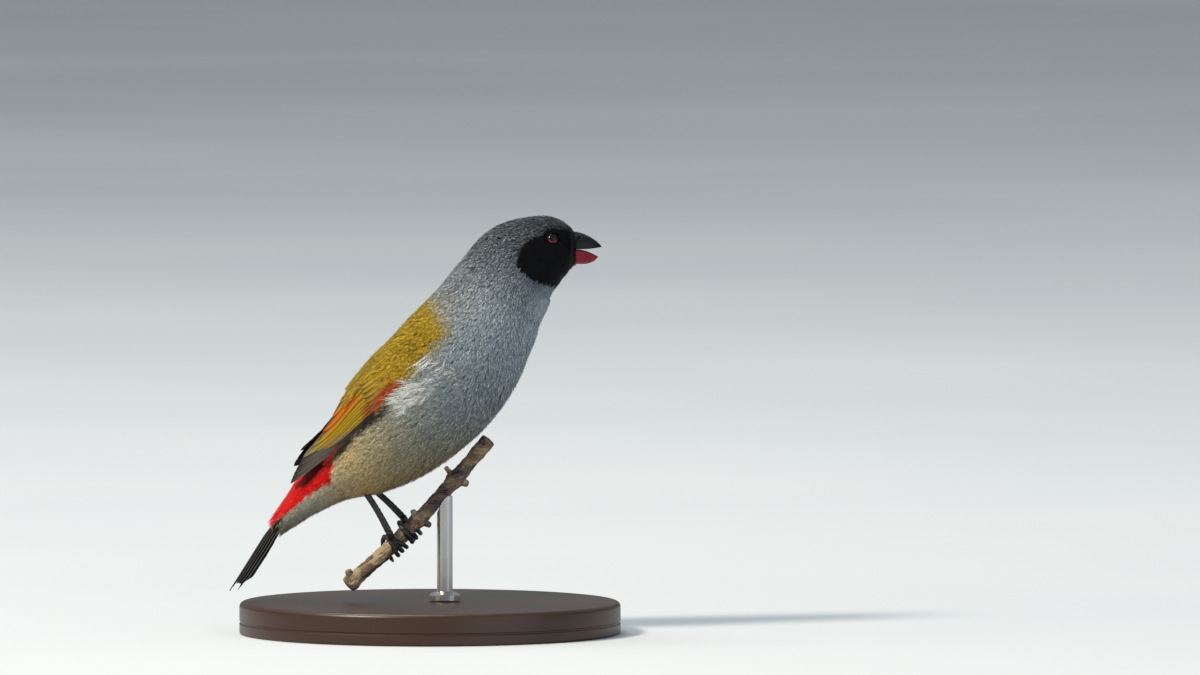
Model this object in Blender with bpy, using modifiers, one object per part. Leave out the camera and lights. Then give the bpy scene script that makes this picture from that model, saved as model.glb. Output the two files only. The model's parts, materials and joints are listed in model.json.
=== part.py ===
"""A life-size still model of a male swee waxbill, clasping a short cut stem on a display stand.

The bird faces +X, stands in the XZ plane and has its right side towards -Y. +Z is up.
The origin is the centre of the stand's underside. Sizes below are in millimetres, and MM turns them to metres.
"""

import math

import bmesh
import bpy
import numpy as np
from mathutils import Matrix

MM = 0.001
GAP = 0.3  # clearance between neighbouring solids

# Stand
BASE_RADIUS = 36.0
BASE_HEIGHT = 6.0
BASE_EDGE_ROUND = 0.9
BASE_FOOT_ROUND = 0.4
BASE_SIDES = 48
ROD_X = 2.8
ROD_RADIUS = 1.5
ROD_SIDES = 20
ROD_COLLAR_RADIUS = 3.0
ROD_COLLAR_HEIGHT = 1.2

# Perch: a straight line from its low cut end to its high one, sagging at the middle
PERCH_LOW = (-15.7, 8.9)
PERCH_HIGH = (11.2, 36.8)
PERCH_SAG = 1.0
PERCH_RADIUS = 1.45
PERCH_SIDES = 12
PERCH_RINGS = 18
# Swollen nodes where leaves grew: place along the perch (0 to 1), how far they stand out, half length
PERCH_NODES = ((0.035, 0.35, 1.0), (0.475, 0.30, 0.9), (0.745, 0.38, 1.0))
# Stubs of side twigs: place along the perch, turn about it from its upper side (degrees), length, radius
PERCH_STUBS = ((0.045, 25.0, 0.7, 0.75), (0.478, 15.0, 0.5, 0.60), (0.482, 190.0, 0.9, 0.65),
               (0.742, 8.0, 1.2, 0.50), (0.750, 186.0, 0.8, 0.75))

# Trunk of the bird, from the face to the end of the tail coverts. Each station has its centre (x, z), its reach
# towards the back and towards the belly, and its half width.
STATIONS = (
    # centre x, z, back, belly, half width
    (27.2, 72.6, 3.2, 3.0, 2.8),     # base of the bill
    (25.9, 72.6, 4.9, 4.5, 4.2),     # lores
    (23.9, 72.4, 6.5, 5.7, 5.3),     # eyes
    (20.7, 71.4, 7.8, 7.1, 6.5),     # ear coverts
    (17.7, 69.7, 9.0, 8.2, 7.1),     # nape
    (13.4, 64.5, 9.7, 9.4, 8.2),     # neck
    (9.8, 58.6, 10.8, 10.8, 9.6),    # shoulders
    (6.0, 52.9, 12.0, 12.1, 10.7),   # breast
    (1.7, 47.6, 12.3, 12.5, 11.2),
    (-3.2, 42.9, 12.2, 12.2, 11.0),  # belly
    (-8.3, 38.3, 11.2, 11.2, 10.0),
    (-13.5, 34.0, 9.0, 9.1, 8.2),    # thighs
    (-18.9, 29.8, 5.9, 5.8, 5.9),    # vent
    (-23.9, 25.1, 3.4, 3.5, 4.5),    # tail coverts
    (-29.2, 19.9, 1.7, 1.8, 3.9),    # root of the tail
)
BODY_RINGS = 38
CUT_HEAD = 11.5   # arc length from the bill to each thin cut
CUT_NECK = 22.5
CUT_VENT = 65.0

# Folded wings, by arc length from the bill and by turn from the ridge of the back in degrees
WING_FRONT = 26.2
WING_BACK_END = 70.5
POCKET_START = 24.6  # the trunk is hollowed beneath each wing, by this depth at each arc length
POCKET_FULL = 25.8
POCKET_DEPTH = ((0.0, 2.5), (58.0, 2.5), (65.0, 1.55), (70.5, 0.1), (76.0, 0.0))
MANTLE_START = 40.0  # from here the mantle between the wings sinks beneath them
MANTLE_END = 48.0
WING_TOP = ((0.0, 30.0), (18.0, 32.0), (24.6, 48.0), (26.0, 42.0), (28.5, 35.0), (32.0, 29.0), (36.0, 24.0),
            (46.0, 12.0), (56.0, 6.5), (72.0, 7.0), (82.0, 12.0))
WING_LOW = ((0.0, 100.0), (18.0, 92.0), (24.6, 64.0), (26.0, 68.0), (28.5, 73.0), (32.0, 76.0), (50.0, 76.0),
            (55.0, 72.0), (60.0, 69.0), (64.0, 63.0), (70.0, 58.0), (82.0, 60.0))
POCKET_MARGIN = 3.0
PLATE_THICK = 1.85
VANE_THICK = 0.52
VANE_TIP_THICK = 0.32
ROOT_SINK = 0.45
TIP_RAISE = 2.65      # folded wing tips ride up over the tail coverts
LEFT_TIP_LIFT = 1.5   # the left wing's tip is held clear of the back
WING_TIP_ARC = {"right": 70.6, "left": 68.7}
LIFT_START = 56.0
WING_SEED = {"right": 11, "left": 29}

# Tail
TAIL_DIRECTION = (-0.534, -0.846)
TAIL_CLEAR = 0.75     # from the end of the tail coverts, whose end face is not square to the tail
TAIL_LENGTH = 14.6
TAIL_PAIRS = 6
TAIL_PITCH = 0.40
TAIL_ROOT_HALF = 0.9
TAIL_FAN_HALF = 3.2
TAIL_VANE_WIDTH = 2.7

# Bill
BILL_BASE_X = 27.5
BILL_TIP = (32.4, 73.0)
CULMEN_Z = 75.7
TOMIUM_Z = 72.75
LOWER_TIP = (31.7, 71.2)
GONYS_Z = 69.9
BILL_HALF_WIDTH = 2.45
NOSTRIL = (28.35, 74.7, 1.75)
NOSTRIL_RADIUS = 0.34

# Eyes
EYE_CENTRE = (23.15, 74.85)
EYE_RADIUS = 1.5
EYE_SINK = 0.75      # how far the eye's centre lies inside the face
LID_RADIUS = 1.45
LID_THICK = 0.36

# Legs and feet. Places on the perch are arc lengths along it, and turns about it are from its upper side.
TARSUS_RADIUS = 0.62
TARSUS_FOOT_RADIUS = 0.72
LEG_ROOT = (-14.0, 3.9, 29.6)   # inside the belly, y for the left leg
FOOT_PLACE = {"right": 12.2, "left": 15.8}
FOOT_TURN = 56.0      # each foot clasps the stem from its own side
ANKLE_DRIFT = 0.7
ANKLE_HEIGHT = 1.75
TOE_RADIUS = 0.46
TOE_END_RADIUS = 0.40
TOE_SIDES = 7
CLAW_LENGTH = 2.7
CLAW_FLARE = 0.75     # how far a claw's tip stands out from the stem
CLAW_TIP_RADIUS = 0.09
LEFT_HALLUX_DRIFT = -0.7  # the left one keeps clear of the right foot
# Each toe: drift along the perch at its root and at its end, and the turn at its end in degrees
TOES = (
    ("hallux", -0.3, -2.6, -165.0),
    ("inner", 0.25, 1.05, 190.0),
    ("middle", 0.0, -0.05, 222.0),
    ("outer", -0.25, -1.15, 205.0),
)

COLOURS = {
    "crown_grey": (0.13, 0.14, 0.15, 0.75, 0.0),
    "neck_grey": (0.36, 0.38, 0.40, 0.8, 0.0),
    "belly_grey": (0.50, 0.47, 0.38, 0.8, 0.0),
    "rump_red": (0.62, 0.03, 0.02, 0.7, 0.0),
    "wing_olive": (0.38, 0.27, 0.05, 0.65, 0.0),
    "tail_black": (0.01, 0.01, 0.012, 0.5, 0.0),
    "bill_black": (0.01, 0.01, 0.012, 0.25, 0.0),
    "bill_red": (0.45, 0.02, 0.03, 0.25, 0.0),
    "eye": (0.02, 0.005, 0.005, 0.05, 0.0),
    "leg_black": (0.02, 0.018, 0.016, 0.45, 0.0),
    "bark": (0.25, 0.20, 0.15, 0.85, 0.0),
    "base_wood": (0.16, 0.08, 0.04, 0.4, 0.0),
    "rod_steel": (0.55, 0.55, 0.57, 0.3, 1.0),
}


def clear_scene():
    """Removes every object, so that only the model remains."""
    for obj in list(bpy.data.objects):
        bpy.data.objects.remove(obj, do_unlink=True)


def material(name):
    """The material of that name, made once."""
    if name in bpy.data.materials:
        return bpy.data.materials[name]
    red, green, blue, roughness, metallic = COLOURS[name]
    made = bpy.data.materials.new(name)
    made.use_nodes = True
    shader = made.node_tree.nodes["Principled BSDF"]
    shader.inputs["Base Color"].default_value = (red, green, blue, 1.0)
    shader.inputs["Roughness"].default_value = roughness
    shader.inputs["Metallic"].default_value = metallic
    return made


def mesh_object(name, points, faces, finish=None, collection=None):
    """A mesh object from points in millimetres."""
    mesh = bpy.data.meshes.new(name)
    mesh.from_pydata((np.asarray(points, float) * MM).tolist(), [], [list(map(int, face)) for face in faces])
    mesh.update()
    obj = bpy.data.objects.new(name, mesh)
    (collection or PARTS).objects.link(obj)
    if finish:
        mesh.materials.append(material(finish))
        mesh.shade_smooth()
        mesh.set_sharp_from_angle(angle=math.radians(40))
    return obj


def catmull_rom(knots, values, at):
    """Smooth curve through values at knots, at the places asked for, its slopes by finite difference."""
    knots = np.asarray(knots, float)
    values = np.asarray(values, float)
    at = np.clip(np.asarray(at, float), knots[0], knots[-1])
    slopes = np.gradient(values, knots, axis=0)
    index = np.clip(np.searchsorted(knots, at, side="right") - 1, 0, len(knots) - 2)
    span = knots[index + 1] - knots[index]
    t = (at - knots[index]) / span
    if values.ndim > 1:
        t, span = t[..., None], span[..., None]
    return ((2 * t**3 - 3 * t**2 + 1) * values[index] + (t**3 - 2 * t**2 + t) * span * slopes[index]
            + (3 * t**2 - 2 * t**3) * values[index + 1] + (t**3 - t**2) * span * slopes[index + 1])


def smooth_step(low, high, value):
    """Rises from 0 at low to 1 at high, level at both ends."""
    t = np.clip((np.asarray(value, float) - low) / (high - low), 0.0, 1.0)
    return t * t * (3 - 2 * t)


STATION_VALUES = np.array(STATIONS, float)
STATION_STEPS = np.linalg.norm(np.diff(STATION_VALUES[:, :2], axis=0), axis=1)
STATION_ARC = np.concatenate([[0.0], np.cumsum(STATION_STEPS)])
BODY_LENGTH = STATION_ARC[-1]


def trunk_frame(arc):
    """Centre, direction towards the tail, and direction towards the back, at an arc length from the bill."""
    arc = np.asarray(arc, float)
    centre = catmull_rom(STATION_ARC, STATION_VALUES[:, :2], arc)
    step = 0.4
    ahead = catmull_rom(STATION_ARC, STATION_VALUES[:, :2], np.minimum(arc + step, BODY_LENGTH))
    behind = catmull_rom(STATION_ARC, STATION_VALUES[:, :2], np.maximum(arc - step, 0.0))
    tangent = ahead - behind
    tangent /= np.linalg.norm(tangent, axis=-1, keepdims=True)
    # Facing the tail from the bill, the back lies to the right of the trunk's line.
    dorsal = np.stack([tangent[..., 1], -tangent[..., 0]], axis=-1)
    return centre, tangent, dorsal


def outline_point(arc, turn, height=0.0):
    """Point on the bird's outline.

    turn is from the ridge of the back in degrees, positive to the bird's right (-Y), and height is along the
    outline's own normal.
    """
    arc, turn, height = np.broadcast_arrays(*(np.asarray(value, float) for value in (arc, turn, height)))
    centre, _, dorsal = trunk_frame(arc)
    radii = catmull_rom(STATION_ARC, STATION_VALUES[:, 2:], arc)
    angle = np.radians(turn)
    cosine, sine = np.cos(angle), np.sin(angle)
    reach = np.where(cosine >= 0, radii[..., 0], radii[..., 1])
    width = radii[..., 2]
    normal_up, normal_side = cosine / reach, sine / width
    length = np.hypot(normal_up, normal_side)
    up = reach * cosine + height * normal_up / length
    side = width * sine + height * normal_side / length
    x = centre[..., 0] + dorsal[..., 0] * up
    z = centre[..., 1] + dorsal[..., 1] * up
    return np.stack([x, -side, z], axis=-1)


def edge_at(table, arc):
    """Value of a table of (arc length, value) at an arc length."""
    table = np.array(table)
    return np.interp(arc, table[:, 0], table[:, 1])


def pocket_depth(arc):
    """Depth of the pocket that a folded wing fills, at an arc length from the bill."""
    return edge_at(POCKET_DEPTH, arc) * smooth_step(POCKET_START, POCKET_FULL, arc)


def trunk_ring(arc):
    """Turns and heights of the trunk's own surface round one section, for the bird's right half."""
    top = float(edge_at(WING_TOP, arc)) - 1.5
    low = float(edge_at(WING_LOW, arc)) + 2.0
    depth = float(pocket_depth(arc))
    mantle = float(smooth_step(MANTLE_START, MANTLE_END, arc))
    rim = max(top - POCKET_MARGIN, top * 0.45)
    turns = [0.0, rim * 0.5, rim] + list(np.linspace(top, low, 7)) + [low + POCKET_MARGIN]
    heights = [-depth * mantle] * 3 + [-depth] * 7 + [0.0]
    belly = np.linspace(low + POCKET_MARGIN, 180.0, 8)[1:]
    return np.array(turns + list(belly)), np.array(heights + [0.0] * len(belly))


def trunk_rings(start, end, inflate=0.0):
    """Closed rings of the trunk between two arc lengths, as an array (ring, point, xyz)."""
    special = [a for a in (POCKET_START, POCKET_FULL, MANTLE_START, MANTLE_END) if start < a < end]
    count = max(4, int(round(BODY_RINGS * (end - start) / BODY_LENGTH)))
    even = [a for a in np.linspace(start, end, count) if all(abs(a - s) > 0.6 for s in special)]
    if start < 1.0:
        even += [0.7, 1.4, 2.6]
    arcs = np.array(sorted(set(even + special)))
    rings = []
    for arc in arcs:
        turns, heights = trunk_ring(arc)
        turns = np.concatenate([turns, -turns[-2:0:-1]])
        heights = np.concatenate([heights, heights[-2:0:-1]])
        rings.append(outline_point(arc, turns, heights + inflate))
    return np.array(rings)


def shift_ring(ring, arc, distance):
    """Moves a ring along the trunk's direction, so that a cut has parallel faces."""
    _, tangent, _ = trunk_frame(arc)
    return ring + np.array([tangent[0], 0.0, tangent[1]]) * distance


def loft(rings):
    """Points and faces of a closed loft, with flat ends."""
    count, around = rings.shape[:2]
    faces = []
    for i in range(count - 1):
        for j in range(around):
            k = (j + 1) % around
            faces.append((i * around + j, i * around + k, (i + 1) * around + k, (i + 1) * around + j))
    faces.append(tuple(range(around))[::-1])
    faces.append(tuple((count - 1) * around + j for j in range(around)))
    return rings.reshape(-1, 3), faces


def face_outwards(obj):
    """Turns every face of a closed mesh outwards."""
    work = bmesh.new()
    work.from_mesh(obj.data)
    bmesh.ops.remove_doubles(work, verts=work.verts, dist=1e-7)
    bmesh.ops.recalc_face_normals(work, faces=work.faces)
    if work.calc_volume(signed=True) < 0:
        bmesh.ops.reverse_faces(work, faces=work.faces)
    work.to_mesh(obj.data)
    work.free()
    return obj


def trunk_part(name, start, end, finish):
    """One length of the trunk between two cuts."""
    rings = trunk_rings(start, end)
    if start > 0:
        rings[0] = shift_ring(rings[0], start, GAP / 2)
    if end < BODY_LENGTH:
        rings[-1] = shift_ring(rings[-1], end, -GAP / 2)
    return face_outwards(mesh_object(name, *loft(rings), finish))


def apply_modifiers(obj):
    """Makes the evaluated mesh the object's own."""
    graph = bpy.context.evaluated_depsgraph_get()
    mesh = bpy.data.meshes.new_from_object(obj.evaluated_get(graph))
    obj.modifiers.clear()
    obj.data = mesh
    return obj


def boolean(obj, other, operation, solver="EXACT"):
    """Joins or cuts obj with a mesh object or a collection, and applies it."""
    modifier = obj.modifiers.new("Join", "BOOLEAN")
    modifier.operation = operation
    modifier.solver = solver
    if isinstance(other, bpy.types.Collection):
        modifier.operand_type = "COLLECTION"
        modifier.collection = other
    else:
        modifier.object = other
    bpy.context.view_layer.update()
    return apply_modifiers(obj)


def keep_largest(obj):
    """Keeps only the largest closed surface of a mesh."""
    work = bmesh.new()
    work.from_mesh(obj.data)
    work.verts.ensure_lookup_table()
    seen = set()
    shells = []
    for vert in work.verts:
        if vert.index in seen:
            continue
        stack, shell = [vert], []
        seen.add(vert.index)
        while stack:
            current = stack.pop()
            shell.append(current)
            for edge in current.link_edges:
                other = edge.other_vert(current)
                if other.index not in seen:
                    seen.add(other.index)
                    stack.append(other)
        shells.append(shell)
    shells.sort(key=lambda shell: -max_span(shell))
    for shell in shells[1:]:
        bmesh.ops.delete(work, geom=shell, context="VERTS")
    work.to_mesh(obj.data)
    work.free()
    return obj


def max_span(shell):
    """Diagonal of the box round a set of vertices."""
    points = np.array([vert.co for vert in shell])
    return float(np.linalg.norm(points.max(0) - points.min(0)))


def fuse(name, first, pieces, finish):
    """Joins closed pieces to the first one as a single body."""
    group = bpy.data.collections.new(name + "_pieces")
    bpy.context.scene.collection.children.link(group)
    for piece in pieces:
        for owner in list(piece.users_collection):
            owner.objects.unlink(piece)
        group.objects.link(piece)
    boolean(first, group, "UNION", "MANIFOLD")
    for piece in pieces:
        bpy.data.objects.remove(piece, do_unlink=True)
    bpy.data.collections.remove(group)
    keep_largest(first)
    first.name = name
    first.data.materials.clear()
    first.data.materials.append(material(finish))
    first.data.shade_smooth()
    first.data.set_sharp_from_angle(angle=math.radians(40))
    return first


def slab(name, top, bottom, finish=None):
    """A thin closed body between two grids of points (rows, columns, xyz), split into triangles alike on both."""
    rows, columns = top.shape[:2]
    points = np.concatenate([top.reshape(-1, 3), bottom.reshape(-1, 3)])
    under = rows * columns
    faces = []
    for i in range(rows - 1):
        for j in range(columns - 1):
            a, b = i * columns + j, i * columns + j + 1
            c, d = a + columns, b + columns
            faces += [(a, b, d), (a, d, c)]
            faces += [(under + a, under + d, under + b), (under + a, under + c, under + d)]
    rim = ([(0, j) for j in range(columns)] + [(i, columns - 1) for i in range(1, rows)]
           + [(rows - 1, j) for j in range(columns - 2, -1, -1)] + [(i, 0) for i in range(rows - 2, 0, -1)])
    for (i, j), (k, m) in zip(rim, rim[1:] + rim[:1]):
        a, b = i * columns + j, k * columns + m
        faces += [(a, under + a, under + b), (a, under + b, b)]
    return face_outwards(mesh_object(name, points, faces, finish))


def vane_profile(t, blunt):
    """Half width of a feather, as a share of its widest, from its root (0) to its tip (1)."""
    body = 0.72 + 0.28 * smooth_step(0.0, 0.35, t)
    tip = np.sqrt(np.clip(1.0 - ((t - blunt) / (1.0 - blunt)) ** 2, 0.0, 1.0))
    return np.where(t > blunt, np.maximum(tip, 0.12), 1.0) * body


def wing_vane(name, side, root, tip, width, height, lift, rows=5, blunt=0.72, sweep=1.25):
    """A feather laid on the bird's outline. root and tip are (arc length, turn) of its middle line."""
    sign = 1.0 if side == "right" else -1.0
    t = np.linspace(0.0, 1.0, rows)
    t = np.concatenate([t[:-1], [0.93, 1.0]])
    arc = root[0] + (tip[0] - root[0]) * t
    turn = root[1] + (tip[1] - root[1]) * (t ** sweep)
    half = 0.5 * width * vane_profile(t, blunt)
    radii = catmull_rom(STATION_ARC, STATION_VALUES[:, 2:], arc)
    local = np.hypot(radii[:, 0] * np.cos(np.radians(turn)), radii[:, 2] * np.sin(np.radians(turn)))
    spread = np.degrees(half / np.maximum(local, 2.5))
    across = np.array([-1.0, 0.0, 1.0])
    turns = np.maximum(turn[:, None] + across[None, :] * spread[:, None], 4.5)
    raised = height + (TIP_RAISE + lift) * smooth_step(LIFT_START, WING_BACK_END, arc)
    sink = np.clip(2.1 + height - VANE_THICK, 0.0, ROOT_SINK)
    raised = raised - sink * (1 - smooth_step(0.0, 0.22, t))
    tops = raised[:, None] - 0.10 * np.abs(across)[None, :]
    thick = VANE_THICK + (VANE_TIP_THICK - VANE_THICK) * smooth_step(0.8, 1.0, t)
    top = outline_point(arc[:, None], turns, tops)
    bottom = outline_point(arc[:, None], turns, tops - thick[:, None])
    top[..., 1] *= sign
    bottom[..., 1] *= sign
    return slab(name, top, bottom)


def wing_plate(name, side, back, lift, finish=None):
    """A curved plate with thin edges, from the shoulder back to an arc length: the base of the feathers."""
    sign = 1.0 if side == "right" else -1.0
    rows, columns = 12, 7
    t = np.linspace(0.0, 1.0, rows)
    arc = WING_FRONT + (back - WING_FRONT) * t
    u = np.linspace(0.0, 1.0, columns)
    top_edge = edge_at(WING_TOP, arc) + 2.0
    low_edge = edge_at(WING_LOW, arc) - 1.5
    narrow = 2.0 * (1 - smooth_step(0.0, 0.2, t)) + (low_edge - top_edge) * 0.38 * smooth_step(0.55, 1.0, t)
    turns = (top_edge + narrow)[:, None] + (low_edge - top_edge - 2 * narrow)[:, None] * u[None, :]
    across = np.sqrt(np.sin(np.pi * (0.08 + 0.84 * u)))[None, :]
    bulge = across * np.sqrt(np.sin(np.pi * (0.10 + 0.82 * t)))[:, None]
    raised = (TIP_RAISE + lift) * smooth_step(LIFT_START, WING_BACK_END, arc)
    bottom_height = -2.05 + raised[:, None] + 0.0 * u[None, :]
    top_height = bottom_height + VANE_THICK + (PLATE_THICK - VANE_THICK) * bulge
    top = outline_point(arc[:, None], turns, top_height)
    bottom = outline_point(arc[:, None], turns, bottom_height)
    top[..., 1] *= sign
    bottom[..., 1] *= sign
    return slab(name, top, bottom, finish)


def build_wing(side):
    """A folded wing: a shoulder plate, then flight feathers under tertials, under three tiers of coverts."""
    lift = LEFT_TIP_LIFT if side == "left" else 0.0
    random = np.random.default_rng(WING_SEED[side])
    core = wing_plate("wing_core", side, 47.0, lift)
    vanes = []

    def add(kind, index, root, tip, width, height, **more):
        """Adds one feather, with small differences of its own."""
        tip = (tip[0] + random.uniform(-0.22, 0.22), tip[1] + random.uniform(-0.7, 0.7))
        vanes.append(wing_vane(f"{kind}_{index}", side, root, tip, width * random.uniform(0.96, 1.04),
                               height + random.uniform(-0.012, 0.012), lift, **more))

    primaries = 6
    for i in range(primaries):
        share = i / (primaries - 1)
        tip = (WING_TIP_ARC[side] - 3.6 * (1 - share) ** 1.2, 27.0 + 9.0 * share)
        add("primary", i, (43.0, 66.0 - 7.0 * (1 - share)), tip, 3.0, -1.30 - 0.064 * i, blunt=0.70, sweep=1.7)
        if i in (1, 4):
            tip = (65.0 - 1.6 * (1 - share), 36.0 + 8 * share)
            add("primary_edge", i, (44.0, 70.0 - 5.0 * (1 - share)), tip, 2.2, -1.44 - 0.03 * i, rows=4)
    secondaries = 4
    for i in range(secondaries):
        share = i / (secondaries - 1)
        add("secondary", i, (41.0, 48.0 + 14.0 * share), (64.0 - 1.2 * share, 27.0 + 17.0 * share),
            3.4, -0.86 - 0.13 * i, blunt=0.66)
    tertials = 3
    for i in range(tertials):
        share = i / (tertials - 1)
        add("tertial", i, (39.5, 26.0 + 14.0 * share), (57.0 + 5.5 * share, 17.0 + 7.0 * share),
            4.0 - 0.4 * share, -0.38 - 0.16 * i, blunt=0.62)
    greater = 7
    for i in range(greater):
        share = i / (greater - 1)
        root = (35.5 - 0.6 * share, 30.0 + 40.0 * share)
        tip = (48.6 + 1.6 * share, 25.0 + 42.0 * share)
        add("greater_covert", i, root, tip, 2.9, -0.22 - 0.05 * (i % 2), rows=4, blunt=0.6)
    median = 6
    for i in range(median):
        share = i / (median - 1)
        add("median_covert", i, (31.5, 34.0 + 34.0 * share), (41.6 + 0.8 * share, 30.0 + 40.0 * share),
            2.9, -0.04 - 0.06 * (i % 2), rows=4, blunt=0.55)
    return fuse(f"wing_{side}", core, vanes, "wing_olive")


def build_tail():
    """Twelve tail feathers, the middle pair uppermost and each next pair below and outside it."""
    direction = np.array([TAIL_DIRECTION[0], 0.0, TAIL_DIRECTION[1]])
    direction /= np.linalg.norm(direction)
    up = np.array([direction[2], 0.0, -direction[0]])
    centre, _, _ = trunk_frame(BODY_LENGTH)
    root = np.array([centre[0], 0.0, centre[1]])
    vanes = []
    for pair in range(TAIL_PAIRS):
        for sign in (-1.0, 1.0):
            share = pair / (TAIL_PAIRS - 1)
            length = TAIL_LENGTH * (1.0 - 0.17 * share ** 1.5) - (0.5 if sign > 0 else 0.0)
            start = TAIL_CLEAR + 0.2
            t = np.concatenate([np.linspace(0.0, 0.8, 4), [0.93, 1.0]])
            along = start + (length - start) * t
            half = 0.5 * TAIL_VANE_WIDTH * vane_profile(t, 0.74)
            root_side = TAIL_ROOT_HALF * (0.5 + 1.3 * share)
            tip_side = TAIL_FAN_HALF * (0.18 + 0.82 * share)
            side = sign * (root_side + (tip_side - root_side) * t)
            across = np.array([-1.0, 0.0, 1.0])
            y = side[:, None] + across[None, :] * half[:, None]
            level = 1.05 - TAIL_PITCH * pair - 0.04 * np.abs(y) - (0.03 if sign > 0 else 0.0)
            thick = VANE_THICK + (VANE_TIP_THICK - VANE_THICK) * smooth_step(0.8, 1.0, t)
            top = root + along[:, None, None] * direction + level[..., None] * up
            top[..., 1] = y
            bottom = top - thick[:, None, None] * up
            vanes.append(slab(f"rectrix_{pair}_{'r' if sign < 0 else 'l'}", top, bottom))
    rings = []
    for along, half_high, half_wide in ((TAIL_CLEAR, 1.30, 3.0), (2.0, 1.30, 3.1), (3.6, 1.05, 2.6),
                                        (5.0, 0.55, 1.4)):
        angle = np.linspace(0.0, 2 * math.pi, 14, endpoint=False)
        ring = root + along * direction + (half_high * np.cos(angle) - 0.05)[:, None] * up
        ring[:, 1] = half_wide * np.sin(angle)
        rings.append(ring)
    core = face_outwards(mesh_object("tail_root", *loft(np.array(rings))))
    return fuse("tail", core, vanes, "tail_black")


def build_bill():
    """Upper and lower mandibles, slightly parted, from their base at the face to their tips."""
    around = 14
    t = np.array([0.0, 0.22, 0.45, 0.66, 0.83, 0.94, 1.0])
    rows = len(t)

    def mandible(name, tip, ridge_z, cutting_z, sign, finish):
        """sign is 1 where the ridge is above the cutting edge and -1 below."""
        length = tip[0] - BILL_BASE_X
        x = BILL_BASE_X + length * t
        cutting = cutting_z + (tip[1] - cutting_z) * t ** 1.6 - 0.10 * sign * np.sin(np.pi * t)
        depth = abs(ridge_z - cutting_z) * (1 - t ** 1.75) ** 0.85 + 0.10
        half = BILL_HALF_WIDTH * (1 - t ** 1.35) ** 0.9 * (1.0 if sign > 0 else 0.94) + 0.10
        rings = np.zeros((rows, around, 3))
        arc_count = around - 3
        angle = np.linspace(0.0, math.pi, arc_count)
        for i in range(rows):
            y = half[i] * np.cos(angle)
            z = cutting[i] + sign * depth[i] * np.sin(angle) ** 0.85
            flat_y = half[i] * np.array([-0.6, 0.0, 0.6])
            flat_z = cutting[i] + sign * 0.12 * depth[i] * np.array([1.0, 1.6, 1.0])
            rings[i, :, 0] = x[i]
            rings[i, :, 1] = np.concatenate([y, flat_y])
            rings[i, :, 2] = np.concatenate([z, flat_z])
        return face_outwards(mesh_object(name, *loft(rings), finish))

    upper = mandible("bill_upper", BILL_TIP, CULMEN_Z, TOMIUM_Z, 1.0, "bill_black")
    lower = mandible("bill_lower", LOWER_TIP, GONYS_Z, TOMIUM_Z - GAP - 0.15, -1.0, "bill_red")
    for side in (-1.0, 1.0):
        pit = ellipsoid("nostril_cutter", (NOSTRIL[0], side * NOSTRIL[2], NOSTRIL[1]),
                        (NOSTRIL_RADIUS * 1.3, NOSTRIL_RADIUS, NOSTRIL_RADIUS), 10, 6)
        boolean(upper, pit, "DIFFERENCE")
        bpy.data.objects.remove(pit, do_unlink=True)
    return upper, lower


def ellipsoid(name, centre, radii, segments, rings, finish=None):
    """A ball with its own radius along each axis."""
    work = bmesh.new()
    bmesh.ops.create_uvsphere(work, u_segments=segments, v_segments=rings, radius=1.0)
    mesh = bpy.data.meshes.new(name)
    work.to_mesh(mesh)
    work.free()
    points = np.array([vert.co for vert in mesh.vertices])
    mesh.vertices.foreach_set("co", ((points * np.array(radii) + np.array(centre)) * MM).ravel())
    obj = bpy.data.objects.new(name, mesh)
    PARTS.objects.link(obj)
    if finish:
        mesh.materials.append(material(finish))
        mesh.shade_smooth()
    return obj


def face_side(x, z):
    """Half width of the face at a place in the side view, and the outward normal there."""
    best = None
    for arc in np.linspace(0.5, 10.0, 60):
        for turn in np.linspace(20.0, 120.0, 60):
            point = outline_point(arc, turn)
            gap = math.hypot(point[0] - x, point[2] - z)
            if best is None or gap < best[0]:
                best = (gap, arc, turn)
    _, arc, turn = best
    inner, outer = outline_point(arc, turn, -0.5), outline_point(arc, turn, 0.5)
    here = outline_point(arc, turn)
    along = outline_point(arc + 0.5, turn) - outline_point(arc - 0.5, turn)
    around = outline_point(arc, turn + 3) - outline_point(arc, turn - 3)
    normal = np.cross(along, around)
    normal /= np.linalg.norm(normal)
    if np.dot(normal, outer - inner) < 0:
        normal = -normal
    return here, normal


def build_head():
    """Head with a socket and a lid ring for each eye."""
    head = trunk_part("head", 0.0, CUT_HEAD, "crown_grey")
    here, normal = face_side(*EYE_CENTRE)
    eyes = []
    lids = []
    centres = []
    for side, sign in (("right", 1.0), ("left", -1.0)):
        mirror = np.array([1.0, sign, 1.0])
        centre = (here - normal * EYE_SINK) * mirror
        axis = normal * mirror
        centres.append(centre)
        lids.append(lid_ring(here * mirror - axis * 0.10, axis))
        eyes.append(ellipsoid(f"eye_{side}", centre, (EYE_RADIUS,) * 3, 14, 9, "eye"))
    head = fuse("head", head, lids, "crown_grey")
    for centre in centres:
        socket = ellipsoid("socket_cutter", centre, (EYE_RADIUS + GAP + 0.05,) * 3, 14, 9)
        boolean(head, socket, "DIFFERENCE")
        bpy.data.objects.remove(socket, do_unlink=True)
    keep_largest(head)
    return head, eyes


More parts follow.
